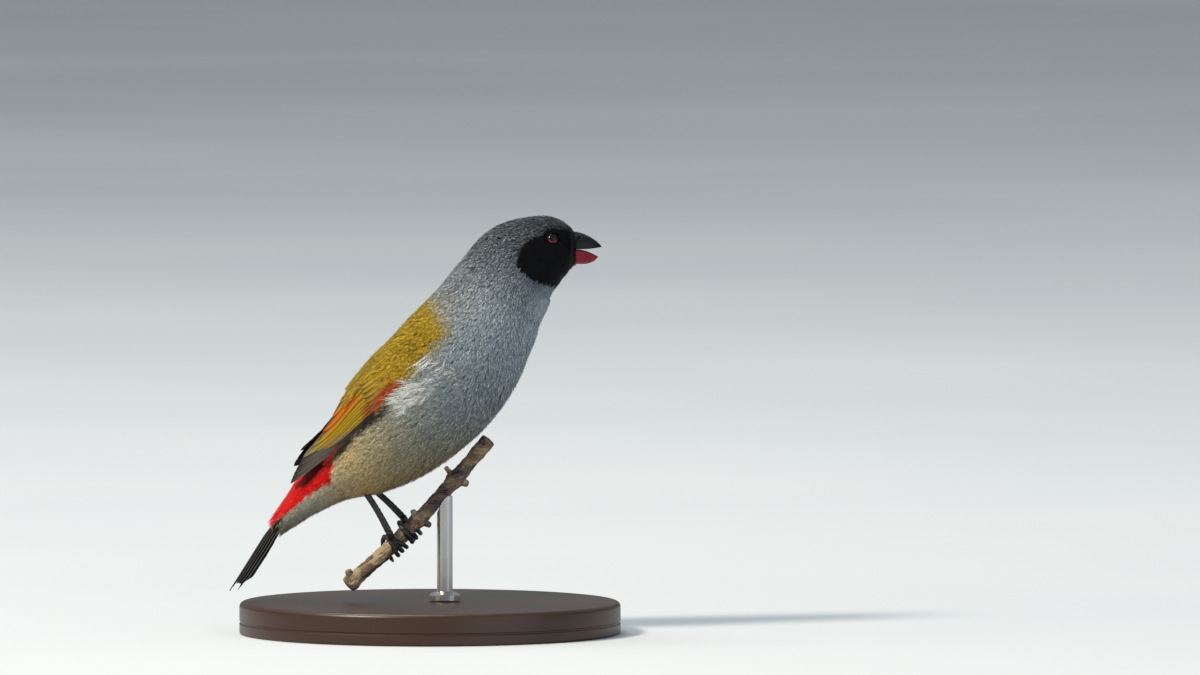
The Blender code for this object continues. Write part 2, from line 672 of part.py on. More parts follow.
def lid_ring(centre, axis):
    """A torus round an eye, lying on the face."""
    axis = axis / np.linalg.norm(axis)
    first = np.cross(axis, [0.0, 0.0, 1.0])
    first /= np.linalg.norm(first)
    second = np.cross(axis, first)
    around, sides = 14, 5
    rings = []
    for a in np.linspace(0.0, 2 * math.pi, around, endpoint=False):
        out = first * math.cos(a) * 1.06 + second * math.sin(a) * 0.96
        rings.append([centre + out * (LID_RADIUS + LID_THICK * math.cos(b)) + axis * LID_THICK * math.sin(b)
                      for b in np.linspace(0.0, 2 * math.pi, sides, endpoint=False)])
    rings = np.array(rings)
    faces = []
    for i in range(around):
        for j in range(sides):
            k, m = (i + 1) % around, (j + 1) % sides
            faces.append((i * sides + j, i * sides + m, k * sides + m, k * sides + j))
    return face_outwards(mesh_object("lid", rings.reshape(-1, 3), faces))


PERCH_START = np.array([PERCH_LOW[0], 0.0, PERCH_LOW[1]])
PERCH_END = np.array([PERCH_HIGH[0], 0.0, PERCH_HIGH[1]])
PERCH_LENGTH = float(np.linalg.norm(PERCH_END - PERCH_START))
PERCH_LINE = (PERCH_END - PERCH_START) / PERCH_LENGTH
PERCH_UPPER = np.array([-PERCH_LINE[2], 0.0, PERCH_LINE[0]])  # across the perch, towards the bird's belly


def perch_frame(place):
    """Centre of the perch at a distance along it, its direction and its upper side."""
    share = place / PERCH_LENGTH
    centre = PERCH_START + PERCH_LINE * place - PERCH_UPPER * PERCH_SAG * math.sin(math.pi * share)
    slope = -PERCH_SAG * math.pi / PERCH_LENGTH * math.cos(math.pi * share)
    along = PERCH_LINE + PERCH_UPPER * slope
    along /= np.linalg.norm(along)
    upper = np.array([-along[2], 0.0, along[0]])
    return centre, along, upper


def about_perch(place, turn, radius):
    """Point at a turn about the perch from its upper side, positive towards the bird's right (-Y)."""
    centre, _, upper = perch_frame(place)
    angle = math.radians(turn)
    return centre + radius * (math.cos(angle) * upper + math.sin(angle) * np.array([0.0, -1.0, 0.0]))


def perch_radius(place):
    """Radius of the perch at a distance along it, with its swollen nodes."""
    radius = PERCH_RADIUS
    for share, swell, half in PERCH_NODES:
        distance = (place - share * PERCH_LENGTH) / half
        radius += swell * math.exp(-distance * distance)
    return radius


def perch_rings(inflate=0.0, start=0.0, end=None):
    """Closed rings of the perch between two places along it, closer together at the nodes."""
    end = PERCH_LENGTH if end is None else end
    steps = (-1.4, -0.7, 0.0, 0.7, 1.4)
    nodes = [share * PERCH_LENGTH + half * k for share, _, half in PERCH_NODES for k in steps]
    nodes = [place for place in nodes if start < place < end]
    even = [p for p in np.linspace(start, end, PERCH_RINGS) if all(abs(p - n) > 0.5 for n in nodes)]
    places = sorted(even + nodes)
    turns = np.linspace(0.0, 360.0, PERCH_SIDES, endpoint=False)
    return np.array([[about_perch(place, turn, perch_radius(place) + inflate) for turn in turns]
                     for place in places])


def build_perch():
    """The cut stem with its swollen nodes and the stubs of its side twigs."""
    stem = face_outwards(mesh_object("perch", *loft(perch_rings())))
    stubs = []
    for share, turn, length, radius in PERCH_STUBS:
        place = share * PERCH_LENGTH
        reach = perch_radius(place)
        distances = np.linspace(0.0, length + reach * 0.7, 3)
        points = [about_perch(place + 0.25 * d, turn, reach * 0.3 + d) for d in distances]
        stubs.append(tube("stub", points, [radius * 1.15, radius, radius * 0.75], 7))
    return fuse("perch", stem, stubs, "bark")


def tube(name, points, radii, sides, finish=None):
    """A closed tube of changing radius through points."""
    points = np.array(points, float)
    tangents = np.gradient(points, axis=0)
    tangents /= np.linalg.norm(tangents, axis=1)[:, None]
    side = np.cross(tangents[0], [0.3, 1.0, 0.2])
    side /= np.linalg.norm(side)
    rings = []
    for point, tangent, radius in zip(points, tangents, radii):
        side = side - tangent * np.dot(side, tangent)
        side /= np.linalg.norm(side)
        other = np.cross(tangent, side)
        angle = np.linspace(0.0, 2 * math.pi, sides, endpoint=False)
        rings.append(point + radius * (np.cos(angle)[:, None] * side + np.sin(angle)[:, None] * other))
    return face_outwards(mesh_object(name, *loft(np.array(rings)), finish))


def toe_reach(place):
    """Distance of a toe's middle line from the perch's."""
    return perch_radius(place) + GAP + TOE_RADIUS + 0.04


def build_leg(side, belly_cutter):
    """Tarsus from the belly to the foot, cut clear of the belly."""
    sign = -1.0 if side == "right" else 1.0
    root = np.array([LEG_ROOT[0], sign * LEG_ROOT[1], LEG_ROOT[2]])
    turn = FOOT_TURN if side == "right" else -FOOT_TURN
    clearance = PERCH_RADIUS + GAP + TOE_RADIUS
    foot = about_perch(FOOT_PLACE[side] + ANKLE_DRIFT, turn, clearance + ANKLE_HEIGHT)
    share = np.linspace(0.0, 1.0, 6)
    bow = np.sin(np.pi * share) * 0.25
    points = root + (foot - root) * share[:, None] + bow[:, None] * np.array([1.0, 0.0, 0.6])
    radii = TARSUS_RADIUS + (TARSUS_FOOT_RADIUS - TARSUS_RADIUS) * share ** 3
    leg = tube(f"tarsus_{side}", points, radii, 10, "leg_black")
    boolean(leg, belly_cutter, "DIFFERENCE")
    keep_largest(leg)
    return foot, points[-1] - points[-2]


def build_foot(side, ankle, tarsus_line):
    """Foot that clasps the perch: the ball under the tarsus, four toes and their claws."""
    sign = 1.0 if side == "right" else -1.0
    place = FOOT_PLACE[side]
    line = tarsus_line / np.linalg.norm(tarsus_line)
    ball_top = ankle + line * GAP
    start_turn = FOOT_TURN * 0.85
    sole = about_perch(place, sign * start_turn, toe_reach(place) + 0.12)
    ball = tube(f"ball_{side}", [ball_top, ball_top + line * 0.7, sole],
                [TARSUS_FOOT_RADIUS, TARSUS_FOOT_RADIUS * 0.9, TOE_RADIUS * 1.15], 10)
    pieces = []
    for toe, start_drift, end_drift, end_turn in TOES:
        if side == "left" and toe == "hallux":
            end_drift = LEFT_HALLUX_DRIFT
        steps = 8
        share = np.linspace(0.0, 1.0, steps)
        turns = sign * (start_turn + (end_turn - start_turn) * share)
        drifts = start_drift + (end_drift - start_drift) * smooth_step(0.0, 0.75, share)
        knuckle = 0.10 * np.sin(np.pi * share * 3.0) ** 2
        points = [about_perch(place + d, a, toe_reach(place + d) + k)
                  for d, a, k in zip(drifts, turns, knuckle)]
        radii = TOE_RADIUS + (TOE_END_RADIUS - TOE_RADIUS) * share
        pieces.append(tube(f"{toe}_{side}", points, radii, TOE_SIDES))
        claw_share = np.linspace(-0.12, 1.0, 5)
        reach = toe_reach(place + end_drift)
        claw_turn = math.degrees(CLAW_LENGTH / reach)
        heading = 1.0 if end_turn > 0 else -1.0
        claw_points = [about_perch(place + end_drift, sign * (end_turn + heading * claw_turn * c),
                                   reach + CLAW_FLARE * (0.4 * max(c, 0.0) + 0.6 * max(c, 0.0) ** 2))
                       for c in claw_share]
        claw_radii = 0.34 + (CLAW_TIP_RADIUS - 0.34) * np.clip(claw_share, 0.0, 1.0) ** 0.8
        pieces.append(tube(f"{toe}_claw_{side}", claw_points, claw_radii, 6))
    return fuse(f"foot_{side}", ball, pieces, "leg_black")


def turned(name, profile, sides, finish, x=0.0):
    """A turned body about an upright axis at x, from a profile of (radius, height) from axis to axis."""
    mesh = bpy.data.meshes.new(name)
    edges = [(i, i + 1) for i in range(len(profile) - 1)]
    mesh.from_pydata([(r * MM, 0.0, z * MM) for r, z in profile], edges, [])
    obj = bpy.data.objects.new(name, mesh)
    PARTS.objects.link(obj)
    screw = obj.modifiers.new("Turn", "SCREW")
    screw.steps = screw.render_steps = sides
    screw.use_merge_vertices = True
    screw.merge_threshold = 0.00001
    mesh.materials.append(material(finish))
    apply_modifiers(obj)
    face_outwards(obj)
    obj.data.transform(Matrix.Translation((x * MM, 0.0, 0.0)))
    obj.data.shade_smooth()
    obj.data.set_sharp_from_angle(angle=math.radians(35))
    return obj


def build_base():
    """The flat round base, with a rounded upper edge and a small one at the foot."""
    profile = [(0.0, BASE_HEIGHT)]
    for angle in np.linspace(90.0, 0.0, 4):
        a = math.radians(angle)
        profile.append((BASE_RADIUS - BASE_EDGE_ROUND * (1 - math.cos(a)),
                        BASE_HEIGHT - BASE_EDGE_ROUND * (1 - math.sin(a))))
    profile += [(BASE_RADIUS, BASE_FOOT_ROUND), (BASE_RADIUS - BASE_FOOT_ROUND, 0.0), (0.0, 0.0)]
    return turned("stand_base", profile, BASE_SIDES, "base_wood")


def build_rod():
    """The rod with its collar, cut to a saddle that the perch lies in."""
    bottom = BASE_HEIGHT + GAP
    low, high = 0.0, PERCH_LENGTH
    while high - low > 1e-4:
        middle = (low + high) / 2
        if perch_frame(middle)[0][0] < ROD_X:
            low = middle
        else:
            high = middle
    top = float(perch_frame(low)[0][2])
    collar_top = bottom + ROD_COLLAR_HEIGHT
    profile = [(0.0, top), (ROD_RADIUS, top), (ROD_RADIUS, collar_top + 0.5),
               (ROD_COLLAR_RADIUS - 0.3, collar_top), (ROD_COLLAR_RADIUS, collar_top - 0.3),
               (ROD_COLLAR_RADIUS, bottom), (0.0, bottom)]
    rod = turned("stand_rod", profile, ROD_SIDES, "rod_steel", ROD_X)
    cutter = face_outwards(mesh_object("saddle_cutter", *loft(perch_rings(GAP, low - 6.0, low + 6.0))))
    boolean(rod, cutter, "DIFFERENCE")
    bpy.data.objects.remove(cutter, do_unlink=True)
    return keep_largest(rod)


def main():
    """Builds the stand, the perch and the bird."""
    build_base()
    build_rod()
    build_perch()
    build_head()
    trunk_part("neck", CUT_HEAD, CUT_NECK, "neck_grey")
    trunk_part("torso", CUT_NECK, CUT_VENT, "belly_grey")
    trunk_part("rump", CUT_VENT, BODY_LENGTH, "rump_red")
    build_tail()
    build_bill()
    for side in ("right", "left"):
        build_wing(side)
    belly = face_outwards(mesh_object("belly_cutter", *loft(trunk_rings(CUT_NECK, CUT_VENT + 4.0, GAP))))
    for side in ("right", "left"):
        ankle, line = build_leg(side, belly)
        build_foot(side, ankle, line)
    bpy.data.objects.remove(belly, do_unlink=True)


clear_scene()
PARTS = bpy.data.collections.new("swee_waxbill")
bpy.context.scene.collection.children.link(PARTS)
main()
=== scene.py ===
"""Looks of a life-size still swee waxbill on a short cut stem and a plain display stand.

The bird faces +X, stands in the XZ plane and has its right side towards -Y. Sizes below are in millimetres,
and MM turns them to metres. Most surfaces are laid out in the bird's own three coordinates: the arc length
from the bill along the trunk's middle line, the turn about that line from the ridge of the back (degrees,
positive to the bird's right), and the height above the bird's outline.
"""

from __future__ import annotations

import json
import logging
import math
from dataclasses import dataclass, field
from enum import Enum
from typing import Any, Callable, Iterable

import bpy
import numpy as np
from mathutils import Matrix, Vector

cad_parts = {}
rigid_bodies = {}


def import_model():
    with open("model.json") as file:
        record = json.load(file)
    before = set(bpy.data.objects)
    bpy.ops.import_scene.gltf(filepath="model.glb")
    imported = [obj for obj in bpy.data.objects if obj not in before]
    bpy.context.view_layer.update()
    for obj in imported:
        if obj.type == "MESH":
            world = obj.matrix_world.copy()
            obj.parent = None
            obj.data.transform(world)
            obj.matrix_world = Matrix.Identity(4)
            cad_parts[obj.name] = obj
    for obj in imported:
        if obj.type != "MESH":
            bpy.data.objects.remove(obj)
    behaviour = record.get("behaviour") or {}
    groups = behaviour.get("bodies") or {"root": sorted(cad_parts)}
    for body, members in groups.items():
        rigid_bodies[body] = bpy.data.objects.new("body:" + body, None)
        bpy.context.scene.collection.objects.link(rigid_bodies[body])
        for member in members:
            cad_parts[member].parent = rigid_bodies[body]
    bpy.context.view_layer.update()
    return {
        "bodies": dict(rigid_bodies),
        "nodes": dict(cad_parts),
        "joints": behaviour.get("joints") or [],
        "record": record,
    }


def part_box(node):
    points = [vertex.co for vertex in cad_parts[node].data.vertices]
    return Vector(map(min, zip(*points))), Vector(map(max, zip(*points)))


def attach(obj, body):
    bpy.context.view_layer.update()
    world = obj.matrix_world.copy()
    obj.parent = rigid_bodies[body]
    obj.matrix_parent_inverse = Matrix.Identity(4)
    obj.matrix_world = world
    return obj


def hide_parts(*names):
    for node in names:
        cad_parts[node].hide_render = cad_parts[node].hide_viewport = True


MM = 0.001
LOG = logging.getLogger("swee_waxbill")
COLOUR_LAYER = "plumage"   # colour at each point of skin and feathers
BAKE_MAP = "OFBake"        # places of skin and feathers on the skin's own unwrap
SURFACE_MAP = "surface"    # length and breadth of a vane, scute or iris
PATCH_SIZE = 0.003         # a feather's patch on the unwrap

Array = np.ndarray
Random = np.random.Generator
Material = bpy.types.Material
Tree = bpy.types.NodeTree
Node = bpy.types.Node
Pair = tuple[float, float]
Table = tuple[Pair, ...]                # (place, value), read in straight lines
Stops = tuple[tuple[float, str], ...]   # (place, hex colour), read the same way
Colours = tuple[str, str]               # ground colour and fleck colour


def linear(code: str) -> Array:
    """Linear red, green and blue, 0 to 1, of an sRGB hex colour such as "#7d2038"."""
    channel = np.array([int(code[i:i + 2], 16) for i in (1, 3, 5)]) / 255.0
    return np.where(channel <= 0.04045, channel / 12.92, ((channel + 0.055) / 1.055) ** 2.4)


def rgba(code: str) -> tuple[float, ...]:
    """The linear colour of a hex code with full opacity, as a shader socket takes it."""
    return *(float(c) for c in linear(code)), 1.0


def smooth_step(low: float, high: float, value: Array | float) -> Array:
    """Rises from 0 at low to 1 at high, or falls where low is the greater, with level ends: 3 t^2 - 2 t^3."""
    t = np.clip((np.asarray(value, float) - low) / (high - low), 0.0, 1.0)
    return t * t * (3 - 2 * t)


def bell(value: Array, middle: float, half: float) -> Array:
    """A smooth bump of height 1 about a middle, down to 0.37 at half either side."""
    return np.exp(-((value - middle) / half) ** 2)


def table_value(table: Iterable[Pair], at: Array | float) -> Array:
    """Straight-line value of a table of (place, value) at each place."""
    places, values = np.array(list(table), float).T
    return np.interp(at, places, values)


def circle(count: int) -> Array:
    """Even angles round a circle in radians, from 0."""
    return np.linspace(0.0, 2 * math.pi, count, endpoint=False)


def even(count: int) -> Array:
    """Even steps from 0 to 1."""
    return np.linspace(0.0, 1.0, count)


def between(pair: Pair, share: Array | float) -> Array | float:
    """Value at a share of the way from the first of a pair to the second."""
    return pair[0] + (pair[1] - pair[0]) * share


def hermite(knots: Array, values: Array, at: Array) -> Array:
    """Smooth curve through values at knots: cubic Hermite spans with centred-difference slopes.

    Args:
        knots: Increasing places, (k,).
        values: Values there, (k,) or (k, n).
        at: Places asked for, held within the knots.

    Returns:
        Values at those places.
    """
    at = np.clip(np.asarray(at, float), knots[0], knots[-1])
    slopes = np.gradient(values, knots, axis=0)
    index = np.clip(np.searchsorted(knots, at, side="right") - 1, 0, len(knots) - 2)
    span = knots[index + 1] - knots[index]
    t = (at - knots[index]) / span
    if values.ndim > 1:
        t, span = t[..., None], span[..., None]
    return ((2 * t**3 - 3 * t**2 + 1) * values[index] + (t**3 - 2 * t**2 + t) * span * slopes[index]
            + (3 * t**2 - 2 * t**3) * values[index + 1] + (t**3 - t**2) * span * slopes[index + 1])


def lattice_noise(points: Array, size: float, seed: int = 0) -> Array:
    """Smooth noise from 0 to 1: a random number at each corner of equal cubes, blended between corners.

    Args:
        points: Places, (..., 3), in millimetres.
        size: Edge of a cube.
        seed: Picks another field of numbers.

    Returns:
        The noise at each place.
    """
    scaled = np.asarray(points, float) / size
    corner = np.floor(scaled).astype(np.int64)
    blend = scaled - corner
    blend = blend * blend * (3 - 2 * blend)
    total = np.zeros(scaled.shape[:-1])
    for step in np.ndindex(2, 2, 2):
        place = corner + np.array(step)
        key = place[..., 0] * 73856093 ^ place[..., 1] * 19349663 ^ place[..., 2] * 83492791 ^ (seed + 7) * 2654435
        key = ((key ^ (key >> 13)) * 1274126177) & 0xFFFFFFFF
        value = ((key ^ (key >> 15)) & 0xFFFF) / 65535.0
        total += value * np.prod(np.where(np.array(step) == 1, blend, 1.0 - blend), axis=-1)
    return total


def unit(vectors: Array) -> Array:
    """Each vector divided by its length."""
    return vectors / np.maximum(np.linalg.norm(vectors, axis=-1, keepdims=True), 1e-12)


def dyed(first: Array | str, second: Array | str, share: Array) -> Array:
    """Colours between two, linear ones or a hex code, by a share for each point."""
    first, second = (linear(c) if isinstance(c, str) else c for c in (first, second))
    share = np.asarray(share)[..., None]
    return first * (1.0 - share) + second * share


def colour_ramp(value: Array, stops: Stops) -> Array:
    """Linear colours at each value, straight between stops of (place, hex colour)."""
    colours = np.array([linear(code) for _, code in stops])
    return np.stack([np.interp(value, [place for place, _ in stops], colours[:, c]) for c in range(3)], axis=-1)


def signed_depth(spots: Array, corners: Table) -> Array:
    """Distance inside a closed outline, negative outside it.

    Args:
        spots: Places in the side view, (n, 2).
        corners: Corners of the outline in order.

    Returns:
        Distances, (n,).
    """
    start = np.array(corners)
    end = np.roll(start, -1, axis=0)
    edge = end - start
    offset = spots[:, None, :] - start[None]
    share = np.clip((offset * edge).sum(-1) / (edge * edge).sum(-1), 0.0, 1.0)
    distance = np.linalg.norm(offset - share[..., None] * edge, axis=-1).min(axis=1)
    spans = (start[:, 1] > spots[:, None, 1]) != (end[:, 1] > spots[:, None, 1])
    rise = np.where(np.abs(edge[:, 1]) < 1e-9, 1e-9, edge[:, 1])
    crossing = start[:, 0] + (spots[:, None, 1] - start[:, 1]) / rise * edge[:, 0]
    inside = (spans & (spots[:, None, 0] < crossing)).sum(axis=1) % 2 == 1
    return np.where(inside, distance, -distance)


class Side(Enum):
    """A side of the bird, with the sign of its turns about the trunk."""

    RIGHT = 1.0
    LEFT = -1.0

    @property
    def word(self) -> str:
        """The side's name in the names of pieces."""
        return self.name.lower()

    @property
    def mirror(self) -> Array:
        """Factors that turn a place of the bird's right side to this side's."""
        return np.array([1.0, self.value, 1.0])


@dataclass
class Shell:
    """Points and faces of one surface, in millimetres, with what its points carry."""

    points: Array
    quads: Array = field(default_factory=lambda: np.zeros((0, 4), int))
    triangles: Array = field(default_factory=lambda: np.zeros((0, 3), int))
    colours: Array | None = None
    place: Array | None = None
    normals: Array | None = None

    def outward(self) -> Shell:
        """This surface with its faces pointing out, told by the sign of the volume in it."""
        corners = np.concatenate([self.quads[:, [0, 1, 2]], self.quads[:, [0, 2, 3]], self.triangles])
        middle = self.points.mean(axis=0)
        a, b, c = (self.points[corners[:, k]] - middle for k in range(3))
        if np.einsum("ij,ij->i", a, np.cross(b, c)).sum() <= 0:
            self.quads, self.triangles = self.quads[:, ::-1], self.triangles[:, ::-1]
        return self

    @staticmethod
    def joined(shells: list[Shell]) -> Shell:
        """Several surfaces as one, each still a body of its own."""
        starts = np.cumsum([0] + [len(shell.points) for shell in shells[:-1]])
        faces = [np.concatenate([getattr(shell, name) + start for shell, start in zip(shells, starts)])
                 for name in ("quads", "triangles")]
        carried = [None if getattr(shells[0], name) is None else
                   np.concatenate([getattr(shell, name) for shell in shells])
                   for name in ("colours", "place", "normals")]
        return Shell(np.concatenate([shell.points for shell in shells]), *faces, *carried)


def grid_quads(rows: int, columns: int, wrap: bool = False) -> Array:
    """Corners of the faces of a grid of points, wrapped round where its columns close."""
    row, column = np.meshgrid(np.arange(rows - 1), np.arange(columns if wrap else columns - 1), indexing="ij")
    beside = (column + 1) % columns
    return np.stack([row * columns + column, row * columns + beside, (row + 1) * columns + beside,
                     (row + 1) * columns + column], axis=-1).reshape(-1, 4)


def closed_tube(rings: Array) -> Shell:
    """A surface through rings of points (ring, point, 3), shut by a pole in each end ring."""
    rows, columns = rings.shape[:2]
    points = np.concatenate([rings.reshape(-1, 3), rings[:1].mean(axis=1), rings[-1:].mean(axis=1)])
    first, here = rows * columns, np.arange(columns)
    beside, end = (here + 1) % columns, (rows - 1) * columns
    caps = np.concatenate([np.stack([np.full(columns, first), beside, here], axis=-1),
                           np.stack([np.full(columns, first + 1), end + here, end + beside], axis=-1)])
    return Shell(points, grid_quads(rows, columns, wrap=True), caps).outward()


def turned(radius: Array, height: Array, sides: int) -> Array:
    """Rings of points about the upright axis, (ring, sides, 3), from each ring's radius and height."""
    angle = circle(sides)
    return np.stack([radius[:, None] * np.cos(angle), radius[:, None] * np.sin(angle),
                     np.broadcast_to(height[:, None], (len(radius), sides))], axis=-1)


def slab(top: Array, bottom: Array) -> Shell:
    """A closed body between two grids of points (rows, columns, 3), the top's points first."""
    rows, columns = top.shape[:2]
    under = rows * columns
    upper = grid_quads(rows, columns)
    rim = np.concatenate([np.arange(columns), np.arange(1, rows) * columns + columns - 1,
                          (rows - 1) * columns + np.arange(columns - 2, -1, -1),
                          np.arange(rows - 2, 0, -1) * columns])
    after = np.roll(rim, -1)
    wall = np.stack([rim, rim + under, after + under, after], axis=-1)
    quads = np.concatenate([upper, (upper + under)[:, ::-1], wall])
    return Shell(np.concatenate([top.reshape(-1, 3), bottom.reshape(-1, 3)]), quads).outward()


def blade_places(across: Array, along: Array) -> Array:
    """Breadth and length at each point of a slab, for the surface map of a vane."""
    return np.tile(np.stack(np.broadcast_arrays(across, along[:, None]), axis=-1).reshape(-1, 2), (2, 1))


def swept_tube(path: Array, radii: Array, across: Array, sides: int,
               relief: Callable[[Array, Array], Array] | None = None) -> Shell:
    """A round tube along a path: each ring lies square to the path, at its radius plus the relief there.

    Args:
        path: Middle line, (rows, 3).
        radii: Radius at each of its points, (rows,).
        across: A direction that the path never runs along; the rings start on its side.
        sides: Points round a ring.
        relief: Height of the surface's own detail from the share of the length (rows, 1) and the angle (1, sides).

    Returns:
        The closed surface.
    """
    along = unit(np.gradient(path, axis=0))
    side = unit(across - (along @ across)[:, None] * along)
    other = np.cross(along, side)
    angle = circle(sides)[None, :]
    share = even(len(path))[:, None]
    radius = radii[:, None] + (relief(share, angle) if relief else 0.0) + 0.0 * angle
    return closed_tube(path[:, None] + (radius * np.cos(angle))[..., None] * side[:, None]
                       + (radius * np.sin(angle))[..., None] * other[:, None])


def rounded_ends(count: int, roundness: float) -> Array:
    """Share of the full radius along a tube whose ends are domed over a share of its length."""
    t = even(count)
    near = np.clip(np.minimum(t, 1.0 - t) / roundness, 0.0, 1.0)
    return np.sqrt(np.clip(1.0 - (1.0 - near) ** 2, 0.0025, 1.0))


def make_piece(name: str, shell: Shell, finish: Material, replaces: Iterable[str] = (),
               baked: bool = False) -> bpy.types.Object:
    """Makes an object of a surface, dresses it and hangs it on the model's one body.

    Args:
        name: Name of the piece.
        shell: Its surface, in millimetres.
        finish: Its material.
        replaces: Nodes of the frame that it stands for.
        baked: Whether its place on the skin's unwrap is the map that its colours are baked by.

    Returns:
        The new object, at the origin.
    """
    mesh = bpy.data.meshes.new(name)
    mesh.vertices.add(len(shell.points))
    mesh.vertices.foreach_set("co", (shell.points * MM).astype(np.float32).ravel())
    corners = np.concatenate([shell.quads.ravel(), shell.triangles.ravel()]).astype(np.int32)
    sizes = np.concatenate([np.full(len(shell.quads), 4), np.full(len(shell.triangles), 3)])
    mesh.loops.add(len(corners))
    mesh.loops.foreach_set("vertex_index", corners)
    mesh.polygons.add(len(sizes))
    mesh.polygons.foreach_set("loop_start", np.concatenate([[0], np.cumsum(sizes)[:-1]]).astype(np.int32))
    mesh.polygons.foreach_set("use_smooth", np.ones(len(sizes), bool))
    mesh.update(calc_edges=True)
    if shell.colours is not None:
        dye = mesh.color_attributes.new(COLOUR_LAYER, "FLOAT_COLOR", "POINT")
        full = np.concatenate([shell.colours, np.ones((len(shell.colours), 1))], axis=1)
        dye.data.foreach_set("color", full.astype(np.float32).ravel())
    if shell.place is not None:
        layer = mesh.uv_layers.new(name=BAKE_MAP if baked else SURFACE_MAP)
        layer.uv.foreach_set("vector", shell.place[corners].astype(np.float32).ravel())
    if shell.normals is not None:
        mesh.normals_split_custom_set_from_vertices(shell.normals.tolist())
    mesh.materials.append(finish)
    obj = linked(name, mesh)
    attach(obj, "root")
    if replaces:
        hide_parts(*replaces)
    LOG.info("%s: %d triangles", name, 2 * len(shell.quads) + len(shell.triangles))
    return obj


def linked(name: str, data: bpy.types.ID) -> bpy.types.Object:
    """A new object of a mesh, lamp or camera, in the scene."""
    obj = bpy.data.objects.new(name, data)
    bpy.context.scene.collection.objects.link(obj)
    return obj


